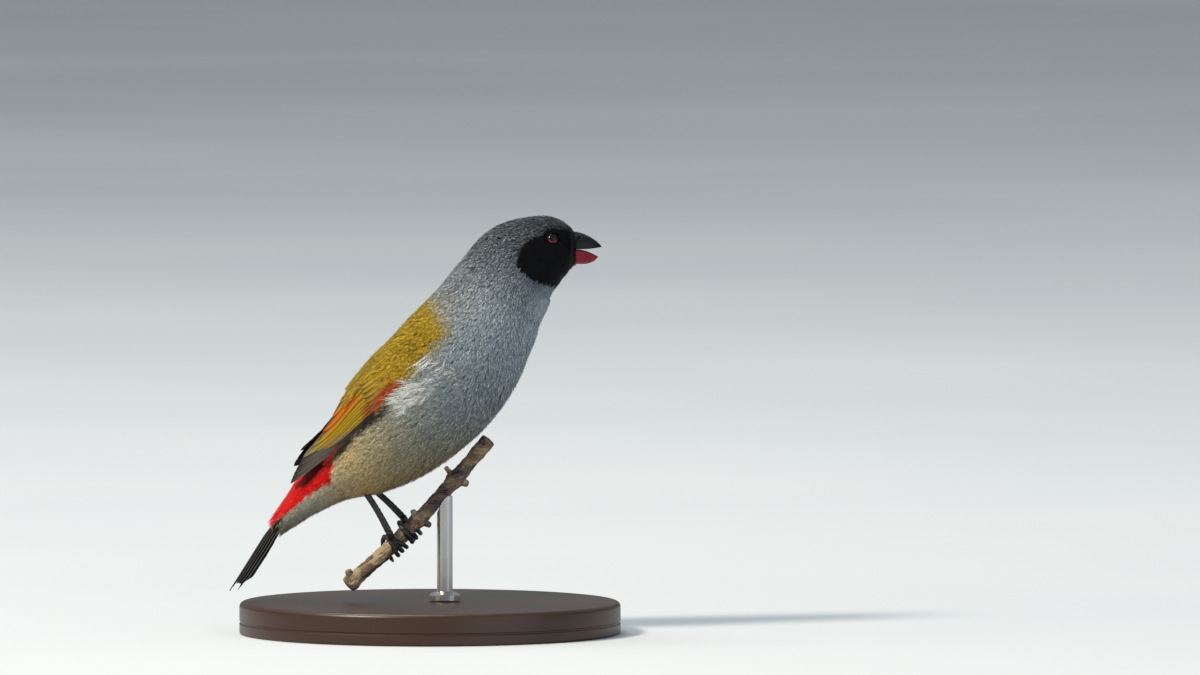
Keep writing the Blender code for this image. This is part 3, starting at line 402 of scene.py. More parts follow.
@dataclass
class Trunk:
    """The bird's outline from the base of its bill to the root of its tail, and the coordinates laid on it."""

    stations: tuple[tuple[float, ...], ...] = (
        # centre x, z, reach to the back, reach to the belly, half width
        (27.2, 72.6, 3.2, 3.0, 2.8),     # base of the bill
        (25.9, 72.6, 4.9, 4.5, 4.2),     # lores
        (23.9, 72.4, 6.5, 5.7, 5.3),     # eyes
        (20.7, 71.4, 7.8, 7.1, 6.5),     # ear coverts
        (17.7, 69.7, 9.0, 8.2, 7.1),     # nape
        (13.4, 64.5, 9.7, 9.4, 8.2),     # neck
        (9.8, 58.6, 10.8, 10.8, 9.6),    # shoulders
        (6.0, 52.9, 12.0, 12.1, 10.7),   # breast
        (1.7, 47.6, 12.3, 12.5, 11.2),
        (-3.2, 42.9, 12.2, 12.2, 11.0),  # belly
        (-8.3, 38.3, 11.2, 11.2, 10.0),
        (-13.5, 34.0, 9.0, 9.1, 8.2),    # thighs
        (-18.9, 29.8, 5.9, 5.8, 5.9),    # vent
        (-23.9, 25.1, 3.4, 3.5, 4.5),    # tail coverts
        (-29.2, 19.9, 1.7, 1.8, 3.9),    # root of the tail
    )
    wing_front: float = 26.2
    wing_back: float = 70.5
    wing_top: Table = ((0.0, 30.0), (18.0, 32.0), (24.6, 48.0), (26.0, 42.0), (28.5, 35.0), (32.0, 29.0),
                       (36.0, 24.0), (46.0, 12.0), (56.0, 6.5), (72.0, 7.0), (82.0, 12.0))
    wing_low: Table = ((0.0, 100.0), (18.0, 92.0), (24.6, 64.0), (26.0, 68.0), (28.5, 73.0), (32.0, 76.0),
                       (50.0, 76.0), (55.0, 72.0), (60.0, 69.0), (64.0, 63.0), (70.0, 58.0), (82.0, 60.0))
    pocket_depth: Table = ((0.0, 2.5), (58.0, 2.5), (65.0, 1.55), (70.5, 0.1), (76.0, 0.0))
    pocket_opens: Pair = (24.6, 25.8)
    mantle_sinks: Pair = (40.0, 48.0)
    coat_depth: Table = ((0.0, 0.3), (4.0, 0.4), (12.0, 0.7), (24.0, 1.0), (60.0, 1.15), (70.0, 0.9), (79.0, 0.6))

    def __post_init__(self) -> None:
        """Works out the arc length at each station."""
        self.values = np.array(self.stations, float)
        steps = np.linalg.norm(np.diff(self.values[:, :2], axis=0), axis=1)
        self.arcs = np.concatenate([[0.0], np.cumsum(steps)])
        self.length = float(self.arcs[-1])

    def radii(self, arc: Array) -> Array:
        """Reach to the back, reach to the belly and half width at an arc length, (..., 3)."""
        return hermite(self.arcs, self.values[:, 2:], arc)

    def line(self, arc: Array) -> tuple[Array, Array]:
        """Middle line and its direction to the back, (..., 2) as x, z. It runs straight on past its ends."""
        arc = np.asarray(arc, float)
        held = np.clip(arc, 0.0, self.length)
        ahead = hermite(self.arcs, self.values[:, :2], np.minimum(held + 0.4, self.length))
        behind = hermite(self.arcs, self.values[:, :2], np.maximum(held - 0.4, 0.0))
        tangent = unit(ahead - behind)
        centre = hermite(self.arcs, self.values[:, :2], held) + tangent * (arc - held)[..., None]
        return centre, np.stack([tangent[..., 1], -tangent[..., 0]], axis=-1)

    def point(self, arc: Any, turn: Any, height: Any = 0.0) -> Array:
        """Places (..., 3): a half ellipse to the back and one to the belly, each station's reach and half width
        blended along the trunk, and the height along the ellipse's own normal.

        Args:
            arc: Arc length from the bill.
            turn: Turn from the ridge of the back in degrees.
            height: Height above the outline.

        Returns:
            The places.
        """
        arc, turn, height = np.broadcast_arrays(*(np.asarray(v, float) for v in (arc, turn, height)))
        centre, dorsal = self.line(arc)
        radii = self.radii(arc)
        cosine, sine = np.cos(np.radians(turn)), np.sin(np.radians(turn))
        reach = np.where(cosine >= 0, radii[..., 0], radii[..., 1])
        width = radii[..., 2]
        normal_up, normal_side = cosine / reach, sine / width
        length = np.hypot(normal_up, normal_side)
        up = reach * cosine + height * normal_up / length
        side = width * sine + height * normal_side / length
        return np.stack([centre[..., 0] + dorsal[..., 0] * up, -side, centre[..., 1] + dorsal[..., 1] * up],
                        axis=-1)

    def steps(self, arc: Array, turn: Array) -> tuple[Array, Array, Array]:
        """Millimetres to one unit of arc length and to one degree of turn, and the outward normal."""
        along = (self.point(arc + 0.3, turn) - self.point(arc - 0.3, turn)) / 0.6
        around = (self.point(arc, turn + 1.5) - self.point(arc, turn - 1.5)) / 3.0
        return (np.maximum(np.linalg.norm(along, axis=-1), 0.35),
                np.maximum(np.linalg.norm(around, axis=-1), 0.012), unit(np.cross(along, around)))

    def ground(self, arc: Array, turn: Array) -> Array:
        """Height of the body's surface: the outline, sunk beneath the wings and between them."""
        fold = folded(turn)
        top = table_value(self.wing_top, arc) - 1.5
        low = table_value(self.wing_low, arc) + 2.0
        depth = table_value(self.pocket_depth, arc) * smooth_step(*self.pocket_opens, arc)
        pocket = smooth_step(top - 4.0, top, fold) * smooth_step(low + 3.5, low, fold)
        mantle = smooth_step(*self.mantle_sinks, arc) * (fold < top)
        return -depth * np.maximum(pocket, mantle)

    def on_wing(self, arc: Array, turn: Array) -> Array:
        """Share of the wing's breadth at a turn, from 0 at its upper edge to 1 at its lower one."""
        top = table_value(self.wing_top, arc)
        return (turn - top) / (table_value(self.wing_low, arc) - top)

    def girth(self, arc: Array) -> Array:
        """Way round the outline, by the usual rule for an ellipse."""
        radii = self.radii(arc)
        a, b = radii[..., 2], (radii[..., 0] + radii[..., 1]) / 2
        return math.pi * (3 * (a + b) - np.sqrt((3 * a + b) * (a + 3 * b)))

    def unwrap(self, arc: Array, turn: Array) -> Array:
        """Place on the skin's unwrap: the turn across it and the arc length up it."""
        around = 0.5 + 0.48 * (((np.asarray(turn) + 180.0) % 360.0) - 180.0) / 180.0
        return np.stack([around, 0.02 + 0.94 * np.clip(arc / (self.length + 8.0), -0.01, 1.02)], axis=-1)

    def nearest(self, x: float, z: float) -> Pair:
        """Arc length and turn of the right side's place that shows at x, z in the side view."""
        arc, turn = np.meshgrid(np.linspace(0.5, 12.0, 240), np.linspace(20.0, 130.0, 240), indexing="ij")
        spot = self.point(arc, turn)
        best = np.argmin(np.hypot(spot[..., 0] - x, spot[..., 2] - z))
        return float(arc.ravel()[best]), float(turn.ravel()[best])


def folded(turn: Array) -> Array:
    """Turn from the ridge of the back on either side, 0 to 180 degrees."""
    return np.abs((np.asarray(turn, float) + 180.0) % 360.0 - 180.0)


@dataclass
class Dye:
    """Colours of places on the coat: the ground, its pale flecks, and how many there are."""

    base: Array
    fleck: Array
    share: Array

    def paint(self, base: str, fleck: str, where: Array, many: float | None = None) -> None:
        """Lays other colours, and maybe another number of flecks, over some of the places."""
        self.base = dyed(self.base, base, where)
        self.fleck = dyed(self.fleck, fleck, where)
        if many is not None:
            self.share = self.share * (1.0 - where) + many * where


@dataclass
class Markings:
    """The bird's markings, worked out from the place on its trunk and in its side view."""

    trunk: Trunk
    back_greys: Stops = ((0.0, "#14161a"), (3.0, "#20262c"), (9.0, "#2a333b"), (13.0, "#3f4a52"), (20.0, "#64717a"),
                         (25.0, "#7a8073"))
    side_greys: Stops = ((0.0, "#1c2126"), (5.0, "#2a3239"), (9.0, "#3d4851"), (14.0, "#606d76"), (20.0, "#82909a"),
                         (28.0, "#84929b"), (38.0, "#7b878a"), (46.0, "#868a7f"), (53.0, "#a1977a"),
                         (59.0, "#bda876"), (64.0, "#c0b08a"), (70.0, "#b3af9c"), (79.0, "#8f8b78"))
    # On the breast these greys are darker and bluer than the bird's own pale grey: partly painted shade
    front_greys: Stops = ((0.0, "#0c0d10"), (9.0, "#8d99a2"), (14.0, "#9daab3"), (24.0, "#8596a1"),
                          (34.0, "#78868c"), (42.0, "#8a897b"), (50.0, "#a08f6c"), (57.0, "#b59b69"),
                          (61.0, "#d4ae60"), (65.0, "#c2b186"), (71.0, "#b5b2a2"), (79.0, "#95907a"))
    fleck_greys: Stops = ((0.0, "#5c6268"), (4.0, "#7d868b"), (11.0, "#a6aeb2"), (20.0, "#dfe3e4"),
                          (40.0, "#d5d6cf"), (60.0, "#e6d6a8"), (79.0, "#dcd9c4"))
    flecks: Table = ((0.0, 0.10), (6.0, 0.22), (12.0, 0.30), (22.0, 0.34), (34.0, 0.20), (50.0, 0.16), (79.0, 0.2))
    mask: Colours = ("#020203", "#141c28")
    olive: Colours = ("#8c770f", "#e8bc18")
    red: Colours = ("#d00607", "#f0200f")
    tail_black: str = "#0a0a0c"
    # dark down and painted shadow under the folded wing
    downy_dark: str = "#0d0707"
    mask_outline: Table = (
        (29.5, 77.0), (26.4, 76.1), (24.4, 76.6), (22.4, 76.6), (20.9, 75.4), (19.1, 74.8), (17.5, 73.6),
        (16.4, 71.6), (16.5, 69.4), (18.2, 67.9), (20.6, 66.4), (22.4, 65.8), (24.6, 65.8), (29.5, 67.0))
    olive_start: Table = ((0.0, 23.8), (55.0, 27.0), (75.0, 28.0))
    olive_side: Table = ((20.0, 62.0), (28.0, 70.0), (34.0, 66.0), (60.0, 60.0))
    red_edge: Table = ((-32.0, 20.2), (-29.6, 21.5), (-27.1, 22.9), (-24.6, 24.8), (-23.0, 26.4), (-18.6, 29.0),
                       (-17.7, 33.0))
    black_edge: Table = ((18.4, -29.0), (23.4, -26.5), (26.0, -25.2))

    def at(self, arc: Array, turn: Array, points: Array, random: Random) -> Dye:
        """Colours at places of the trunk. Each edge wanders by a smooth noise and by a random step for each place.

        Args:
            arc: Arc lengths, (n,).
            turn: Turns in degrees, (n,).
            points: The places themselves, (n, 3).
            random: Source of the random steps.

        Returns:
            The colours there.
        """
        fold = folded(turn)
        wander = (lattice_noise(points, 1.6, 3) - 0.5) * 1.1 + random.normal(0.0, 0.22, len(points))
        base = dyed(colour_ramp(arc, self.side_greys), colour_ramp(arc, self.back_greys),
                    smooth_step(88.0, 38.0, fold))
        base = dyed(base, colour_ramp(arc, self.front_greys), smooth_step(112.0, 160.0, fold))
        dye = Dye(base, colour_ramp(arc, self.fleck_greys), table_value(self.flecks, arc))
        start = table_value(self.olive_start, fold)
        olive = (smooth_step(-2.2, 2.6, arc - start + wander * 1.5)
                 * smooth_step(3.0, -3.0, fold - table_value(self.olive_side, arc) + wander * 6.0))
        dye.paint(*self.olive, olive, 0.42)
        edge = table_value(self.red_edge, points[:, 0])
        red = (smooth_step(-0.25, 0.25, points[:, 2] - edge + wander * 0.5)
               * smooth_step(-17.2, -18.2, points[:, 0] + wander * 0.6))
        red = np.maximum(red, smooth_step(55.0, 57.0, arc) * smooth_step(70.0, 58.0, fold))
        red = red * smooth_step(54.0, 56.0, arc)
        dye.paint(*self.red, red)
        # Painted shadow under the folded wing, partly dark down: a band below the wing's lower edge is darkened, to
        # maroon on the red
        below = fold - table_value(self.trunk.wing_low, arc)
        inner = -14.0 - 22.0 * smooth_step(58.0, 64.0, arc)
        outer = -3.0 + 10.0 * smooth_step(55.0, 63.0, arc)
        under_wing = (smooth_step(0.0, 6.0, below - inner) * smooth_step(7.0, 0.0, below - outer + wander * 2)
                      * smooth_step(44.0, 50.0, arc) * smooth_step(70.0, 67.5, arc + wander * 0.5))
        dye.base = dyed(dye.base, self.downy_dark, under_wing * (0.96 - 0.26 * red))
        dye.share = dye.share * (1.0 - under_wing)
        edge = table_value(self.black_edge, points[:, 2])
        black = smooth_step(-0.3, 0.5, edge - points[:, 0] + wander * 0.6) * (1.0 - red) * (arc > 70.0)
        dye.base = dyed(dye.base, self.tail_black, black)
        dye.share = dye.share * (1.0 - 0.8 * black)
        mask = smooth_step(-0.12, 0.12, signed_depth(points[:, [0, 2]], self.mask_outline) + wander * 0.35)
        dye.paint(*self.mask, mask * (arc < 13.0), 0.10)
        return dye


@dataclass
class WingMarkings:
    """Colours of the folded wing in its side view, and of each vane from its shaft to its edges."""

    olive: Colours = ("#8f770e", "#e8b916")
    grey: Colours = ("#808884", "#c1be9c")
    rust: Colours = ("#842306", "#a8380c")
    orange: str = "#b95203"
    olive_dark: str = "#3f340c"
    tan: str = "#6e6454"
    rust_outline: Table = ((-7.2, 48.8), (-2.6, 48.6), (-4.6, 45.8), (-7.6, 43.0), (-9.6, 40.4), (-12.6, 39.4),
                           (-12.6, 42.4), (-10.4, 45.4))
    orange_streak: Table = ((-14.2, 44.4), (-20.0, 38.2))
    tan_line: Table = ((-12.8, 39.9), (-22.4, 33.6))
    front_edge: Table = ((48.0, -4.2), (50.0, -2.6), (52.5, -0.6), (56.9, 2.6), (60.7, 2.9), (63.8, 0.4),
                         (66.0, -2.0))
    flecked: float = 0.42     # how far the barbs of a small feather take their second colour

    def covert(self, points: Array, random: Random) -> Dye:
        """Colours of the small feathers of the wing: olive, rust in its patch and orange along its streak."""
        spots = points[:, [0, 2]]
        wander = (lattice_noise(points, 1.3, 5) - 0.5) * 1.3 + random.normal(0.0, 0.25, len(points))
        start, way = np.array(self.orange_streak[0]), np.diff(self.orange_streak, axis=0)[0]
        share = np.clip((spots - start) @ way / (way @ way), 0.0, 1.0)
        away = np.linalg.norm(spots - start - share[:, None] * way, axis=1)
        orange = smooth_step(1.2, 0.3, away + wander * 0.35)
        ground, fleck = self.olive
        base = dyed(ground, self.olive_dark, 0.70 * lattice_noise(points, 0.9, 11) ** 1.5)
        dye = Dye(dyed(base, self.orange, orange * 0.85), dyed(fleck, self.orange, orange),
                  np.full(len(points), self.flecked))
        dye.paint(*self.rust, smooth_step(-0.5, 0.6, signed_depth(spots, self.rust_outline) + wander * 0.7))
        front = points[:, 0] - table_value(self.front_edge, points[:, 2]) + wander
        dye.paint(*self.grey, smooth_step(-2.4, 1.6, front))
        return dye

    def tanned(self, points: Array) -> Array:
        """Share of grey brown in the long feathers: along the wing's lower edge and at its end."""
        way = unit(np.diff(self.tan_line, axis=0)[0])
        below = (points[:, [0, 2]] - np.array(self.tan_line[0])) @ np.array([-way[1], way[0]])
        wander = lattice_noise(points, 1.1, 17) - 0.5
        return np.maximum(smooth_step(-1.1, 0.8, below + wander), smooth_step(20.5, 22.8, wander - points[:, 0]))


def fill(tree: Tree, node: Node, inputs: dict[Any, Any]) -> None:
    """Fills a node's inputs with values, or links them to a socket or a node's first output."""
    for name, value in inputs.items():
        if isinstance(value, Node):
            value = value.outputs[0]
        if isinstance(value, bpy.types.NodeSocket):
            tree.links.new(value, node.inputs[name])
        else:
            node.inputs[name].default_value = value


def add_node(tree: Tree, kind: str, inputs: dict[Any, Any] | None = None, **settings: Any) -> Node:
    """Adds a shader node.

    Args:
        tree: The material's node tree.
        kind: The node's type without "ShaderNode".
        inputs: What its inputs take, as in fill().
        settings: Its properties by name. "stops" gives a colour ramp's stops as (place, hex colour).

    Returns:
        The new node.
    """
    node = tree.nodes.new("ShaderNode" + kind)
    stops = settings.pop("stops", ())
    for name, value in settings.items():
        setattr(node, name, value)
    for _ in stops[2:]:
        node.color_ramp.elements.new(0.5)
    for number, (place, code) in enumerate(stops):
        node.color_ramp.elements[number].position = place
        node.color_ramp.elements[number].color = rgba(code)
    fill(tree, node, inputs or {})
    return node


@dataclass(frozen=True)
class Finish:
    """What finishes share: a name, and the nodes that most of them use."""

    name: str

    def inputs(self, tree: Tree) -> dict[str, Any]:
        """What the principled shader's inputs take, with the nodes for it added to the tree."""
        raise NotImplementedError

    def build(self) -> Material:
        """Makes the material."""
        made = bpy.data.materials.new(self.name)
        made.use_nodes = True
        tree = made.node_tree
        fill(tree, tree.nodes["Principled BSDF"], self.inputs(tree))
        return made

    def spot(self, tree: Tree, *stretch: float, tilt: float = 0.0) -> Any:
        """Object coordinates, tilted about Y and stretched along each axis where that is asked for."""
        spot = add_node(tree, "TexCoord").outputs["Object"]
        turn = (0.0, math.radians(tilt), 0.0)
        return add_node(tree, "Mapping", {"Vector": spot, "Rotation": turn, "Scale": stretch}) if stretch else spot

    def noise(self, tree: Tree, vector: Any, size: float, detail: float, roughness: float = 0.5) -> Node:
        """Noise with features of a size in millimetres."""
        return add_node(tree, "TexNoise", {"Vector": vector, "Scale": 1.0 / (size * MM), "Detail": detail,
                                           "Roughness": roughness})

    def span(self, tree: Tree, value: Any, low: float, high: float, start: float = 0.0, end: float = 1.0) -> Node:
        """A value that runs from start to end, turned to run from low to high and held there."""
        return add_node(tree, "MapRange", {"Value": value, "From Min": start, "From Max": end,
                                           "To Min": low, "To Max": high})

    def calc(self, tree: Tree, operation: str, *values: Any) -> Node:
        """A sum on plain numbers."""
        return add_node(tree, "Math", dict(enumerate(values)), operation=operation)

    def ramp(self, tree: Tree, value: Any, *stops: tuple[float, str]) -> Node:
        """Colours by a value, straight between stops."""
        return add_node(tree, "ValToRGB", {"Fac": value}, stops=stops)

    def scaled(self, tree: Tree, vector: Any, scale: Any) -> Node:
        """A colour or vector times a number."""
        return add_node(tree, "VectorMath", {0: vector, "Scale": scale}, operation="SCALE")

    def bump(self, tree: Tree, height: Any, strength: float, depth: float) -> Node:
        """A normal that shows a height as relief of a depth in millimetres."""
        return add_node(tree, "Bump", {"Height": height, "Strength": strength, "Distance": depth * MM})


@dataclass(frozen=True)
class FeatherFinish(Finish):
    """Feather keratin, grown and preened: matt and softly sheened, its colour from the markings, with fine barbs.

    The barbs of a small feather are too fine to show one by one, so the noise is drawn at barb_size.
    """

    name: str = "soft_feather_keratin"
    roughness: float = 0.8
    sheen: float = 0.10
    specular: float = 0.14
    barb_size: float = 0.28
    mottling: float = 0.25
    relief: float = 0.2

    def inputs(self, tree: Tree) -> dict[str, Any]:
        """The markings' colour, mottled by fine noise."""
        barbs = self.noise(tree, self.spot(tree), self.barb_size, 3.0, 0.6)
        shade = self.span(tree, barbs, 1.0 - self.mottling, 1.0 + self.mottling, 0.3, 0.7)
        colour = add_node(tree, "Attribute", attribute_name=COLOUR_LAYER)
        return {"Base Color": self.scaled(tree, colour, shade), "Normal": self.bump(tree, barbs, self.relief, 0.04),
                "Roughness": self.roughness, "Specular IOR Level": self.specular, "Sheen Weight": self.sheen,
                "Sheen Roughness": 0.6}


@dataclass(frozen=True)
class VaneFinish(Finish):
    """Firm flight-feather keratin: smooth and a little glossy, with barbs slanting from the shaft to the edge.

    Barbs lie about 0.05 mm apart on the bird and are drawn at barb_spacing, so that they show.
    """

    name: str = "firm_feather_keratin"
    roughness: float = 0.58
    specular: float = 0.18
    barb_spacing: float = 0.22
    slant: float = -1.6
    streak: float = 0.30
    relief: float = 0.5

    def inputs(self, tree: Tree) -> dict[str, Any]:
        """The markings' colour with stripes across the vane's own length, bent forward towards its edges."""
        place = add_node(tree, "SeparateXYZ", {"Vector": add_node(tree, "UVMap", uv_map=SURFACE_MAP)})
        edge = self.calc(tree, "ABSOLUTE", place.outputs["X"])
        bent = self.calc(tree, "MULTIPLY_ADD", edge, self.slant, place.outputs["Y"])
        line = add_node(tree, "CombineXYZ", {"X": bent})
        barbs = self.noise(tree, line, self.barb_spacing / MM, 4.0, 0.75)
        shade = self.span(tree, barbs, 1.0 - self.streak, 1.0 + self.streak, 0.3, 0.7)
        colour = add_node(tree, "Attribute", attribute_name=COLOUR_LAYER)
        return {"Base Color": self.scaled(tree, colour, shade), "Normal": self.bump(tree, barbs, self.relief, 0.05),
                "Roughness": self.roughness, "Specular IOR Level": self.specular}


@dataclass(frozen=True)
class HornFinish(Finish):
    """Horn of a bill or claw: solid keratin, polished by use, with faint growth lines and a thin gloss."""

    colour: str
    pale: str
    roughness: float = 0.44
    line_size: float = 0.5
    coat: float = 0.07

    def inputs(self, tree: Tree) -> dict[str, Any]:
        """Noise drawn out along the bill, as colour and as a low relief."""
        lines = self.noise(tree, self.spot(tree, 0.35, 1.0, 1.0), self.line_size, 4.0)
        return {"Base Color": self.ramp(tree, lines, (0.35, self.colour), (0.75, self.pale)),
                "Normal": self.bump(tree, lines, 0.25, 0.03), "Roughness": self.roughness, "Coat Weight": self.coat,
                "Coat Roughness": 0.12, "Specular IOR Level": 0.2}


@dataclass(frozen=True)
class EyeFinish(Finish):
    """Wet eye: a dark pupil in a red iris with fine spokes, under the clear gloss of the cornea.

    The cornea bends light from above onto the lower part of the iris, so that part is painted brighter as
    painted light, and the rest of the iris is painted dark as painted shade under the brow.
    """

    name: str = "wet_cornea_over_iris"
    pupil: str = "#020203"
    inner: str = "#3d0a10"
    iris: str = "#c23a4a"
    rim: str = "#16060a"
    lowest: float = 0.76     # where round the eye its lowest point is

    def inputs(self, tree: Tree) -> dict[str, Any]:
        """The surface map's first axis runs round the pupil and its second from the middle outwards."""
        place = add_node(tree, "SeparateXYZ", {"Vector": add_node(tree, "UVMap", uv_map=SURFACE_MAP)})
        ring = self.ramp(tree, place.outputs["Y"], (0.0, self.pupil), (0.165, self.pupil), (0.178, self.inner),
                         (0.192, self.iris), (0.225, self.iris), (0.26, self.rim), (1.0, self.rim))
        spokes = add_node(tree, "TexNoise", {"Vector": add_node(tree, "CombineXYZ", {"X": place.outputs["X"]}),
                                             "Scale": 60.0})
        # painted light at the iris's lowest point, and painted shade round the rest of it
        away = self.calc(tree, "ABSOLUTE", self.calc(tree, "SUBTRACT", place.outputs["X"], self.lowest))
        shade = self.calc(tree, "MULTIPLY", self.span(tree, spokes, 0.6, 1.4),
                          self.span(tree, away, 1.2, 0.03, 0.09, 0.20))
        return {"Base Color": self.scaled(tree, ring, shade), "Roughness": 0.3, "Specular IOR Level": 0.1,
                "Coat Weight": 0.7, "Coat IOR": 1.38, "Coat Roughness": 0.02}


@dataclass(frozen=True)
class ScuteFinish(Finish):
    """Horny skin of the legs: dark plates with greasy creases, worn paler where they rub on the bark."""

    name: str = "scaly_leg_skin"
    dark: str = "#0d0c0c"
    middle: str = "#211f1f"
    worn: str = "#55504c"
    plate: float = 0.5
    roughness: float = 0.42
    specular: float = 0.5

    def inputs(self, tree: Tree) -> dict[str, Any]:
        """Fine cells of half a plate between the modelled scutes, and wear by a coarse noise."""
        spot = self.spot(tree)
        cells = add_node(tree, "TexVoronoi", {"Vector": spot, "Scale": 1.0 / (self.plate * 0.5 * MM)},
                         feature="DISTANCE_TO_EDGE")
        wear = self.ramp(tree, self.noise(tree, spot, self.plate, 5.0), (0.36, self.dark), (0.55, self.middle),
                         (0.76, self.worn))
        return {"Base Color": wear, "Normal": self.bump(tree, cells, 0.5, 0.05), "Roughness": self.roughness,
                "Specular IOR Level": self.specular}


@dataclass(frozen=True)
class BarkFinish(Finish):
    """Weathered stem: dry tan and grey bark with black-brown patches of lichen and scars along the grain."""

    name: str = "weathered_bark"
    pale: str = "#a8967c"
    tan: str = "#745f49"
    grey: str = "#524b4e"
    dark: str = "#1a1414"
    patch: float = 2.2
    grain: float = 0.28
    tilt: float = 46.0       # turns the pattern's X along the stem

    def inputs(self, tree: Tree) -> dict[str, Any]:
        """Patches and grain drawn out along the stem, shifted by the tone on the modelled bark, which carries
        painted light and shade.
        """
        spot = self.spot(tree, 0.3, 1.0, 1.0, tilt=self.tilt)
        tone = self.calc(tree, "MULTIPLY_ADD", self.noise(tree, spot, self.grain, 4.0), 0.3,
                         self.noise(tree, spot, self.patch, 6.0, 0.68))
        # the stem's colour layer carries painted light on its low end and top and painted shade in its furrows
        own = add_node(tree, "Attribute", attribute_name=COLOUR_LAYER).outputs["Fac"]
        bark = self.ramp(tree, self.calc(tree, "ADD", tone, own), (0.50, self.dark), (0.60, self.grey),
                         (0.70, self.tan), (0.86, self.pale))
        return {"Base Color": bark, "Normal": self.bump(tree, tone, 0.8, 0.12), "Roughness": 0.85,
                "Specular IOR Level": 0.2}


@dataclass(frozen=True)
class WoodFinish(Finish):
    """Turned and oiled hardwood: dark heartwood with uneven streaks of grain along X and fine open pores."""

    name: str = "oiled_walnut"
    early: str = "#5f3b25"
    late: str = "#36200f"
    ring: float = 2.2
    pore: float = 0.22

    def inputs(self, tree: Tree) -> dict[str, Any]:
        """The streaks are a noise drawn out along X and bent a little by another."""
        spot = self.spot(tree)
        warp = add_node(tree, "TexNoise", {"Vector": spot, "Scale": 14.0, "Detail": 1.0}).outputs["Color"]
        moved = add_node(tree, "VectorMath", {0: spot, 1: self.scaled(tree, warp, 0.02)}, operation="ADD")
        drawn = add_node(tree, "Mapping", {"Vector": moved, "Scale": (0.05, 1.0, 1.0)})
        pores = self.noise(tree, self.spot(tree, 0.08, 1.0, 1.0), self.pore, 3.0)
        tone = self.calc(tree, "MULTIPLY_ADD", self.noise(tree, drawn, self.ring, 4.0, 0.65), 1.5, pores)
        return {"Base Color": self.ramp(tree, tone, (1.02, self.late), (1.42, self.early)),
                "Normal": self.bump(tree, pores, 0.25, 0.05), "Roughness": 0.38}


@dataclass(frozen=True)
class SteelFinish(Finish):
    """Stainless rod, brushed along its length: pale grey metal with fine upright scratches."""

    name: str = "brushed_stainless_steel"
    colour: str = "#b9b8b6"
    scratch: float = 0.25

    def inputs(self, tree: Tree) -> dict[str, Any]:
        """Noise stretched forty times along Z, which is the way of the brush."""
        brushed = self.noise(tree, self.spot(tree, 1.0, 1.0, 0.025), self.scratch, 3.0)
        return {"Base Color": rgba(self.colour), "Metallic": 1.0, "Roughness": self.span(tree, brushed, 0.22, 0.42),
                "Normal": self.bump(tree, brushed, 0.2, 0.02)}


@dataclass(frozen=True)
class FloorFinish(Finish):
    """Matt painted studio floor: pale and even, with a faint mottle that keeps it from looking empty."""

    name: str = "matt_painted_floor"
    colour: str = "#c6ccd0"
    other: str = "#cfd4d6"

    def inputs(self, tree: Tree) -> dict[str, Any]:
        """A coarse mottle of two near tones."""
        mottle = add_node(tree, "TexNoise", {"Vector": self.spot(tree), "Scale": 3.0})
        return {"Base Color": self.ramp(tree, mottle, (0.3, self.colour), (0.7, self.other)), "Roughness": 0.9,
                "Specular IOR Level": 0.1}


@dataclass
class Skin:
    """The one closed skin of head, neck, trunk and rump, inside the outline by the coat's depth."""

    trunk: Trunk
    markings: Markings
    rows: int = 300
    columns: int = 176
    seed: int = 5

    def shell(self) -> Shell:
        """A loft whose rings lie below the ground level by the coat's depth, closer together on the head.

        The first rings shrink into the base of the bill and the last ones into the root of the tail.
        """
        t = even(self.rows)
        arc = self.trunk.length * (0.45 * t + 0.55 * t**2)
        turn = np.linspace(-180.0, 180.0, self.columns, endpoint=False)
        arcs, turns = np.meshgrid(arc, turn, indexing="ij")
        depth = table_value(self.trunk.coat_depth, arcs)
        rings = self.trunk.point(arcs, turns, self.trunk.ground(arcs, turns) - depth)

        def shrunk(ring: Array, shares: Pair, step: tuple[float, ...]) -> list[Array]:
            """Two smaller rings beyond an end ring, each moved on by a step."""
            middle = ring.mean(axis=0)
            return [middle + (ring - middle) * share + np.array(step) * (k + 1) for k, share in enumerate(shares)]

        front = shrunk(rings[0], (0.75, 0.35), (0.22, 0.0, 0.0))[::-1]
        rear = shrunk(rings[-1], (0.8, 0.45), (-0.25, 0.0, -0.35))
        shell = closed_tube(np.concatenate([front, rings, rear]))
        arc_at = np.concatenate([np.pad(arcs, ((2, 2), (0, 0)), "edge").ravel(), [0.0, self.trunk.length]])
        turn_at = np.concatenate([np.pad(turns, ((2, 2), (0, 0)), "edge").ravel(), [0.0, 0.0]])
        dye = self.markings.at(arc_at, turn_at, self.trunk.point(arc_at, turn_at), np.random.default_rng(self.seed))
        shell.colours = dye.base * 0.75
        shell.place = self.trunk.unwrap(arc_at, turn_at)
        return shell

    def build(self, finish: Material) -> None:
        """Makes the piece, which stands for every node of flesh."""
        make_piece("skin", self.shell(), finish, ("head", "neck", "torso", "rump"), baked=True)


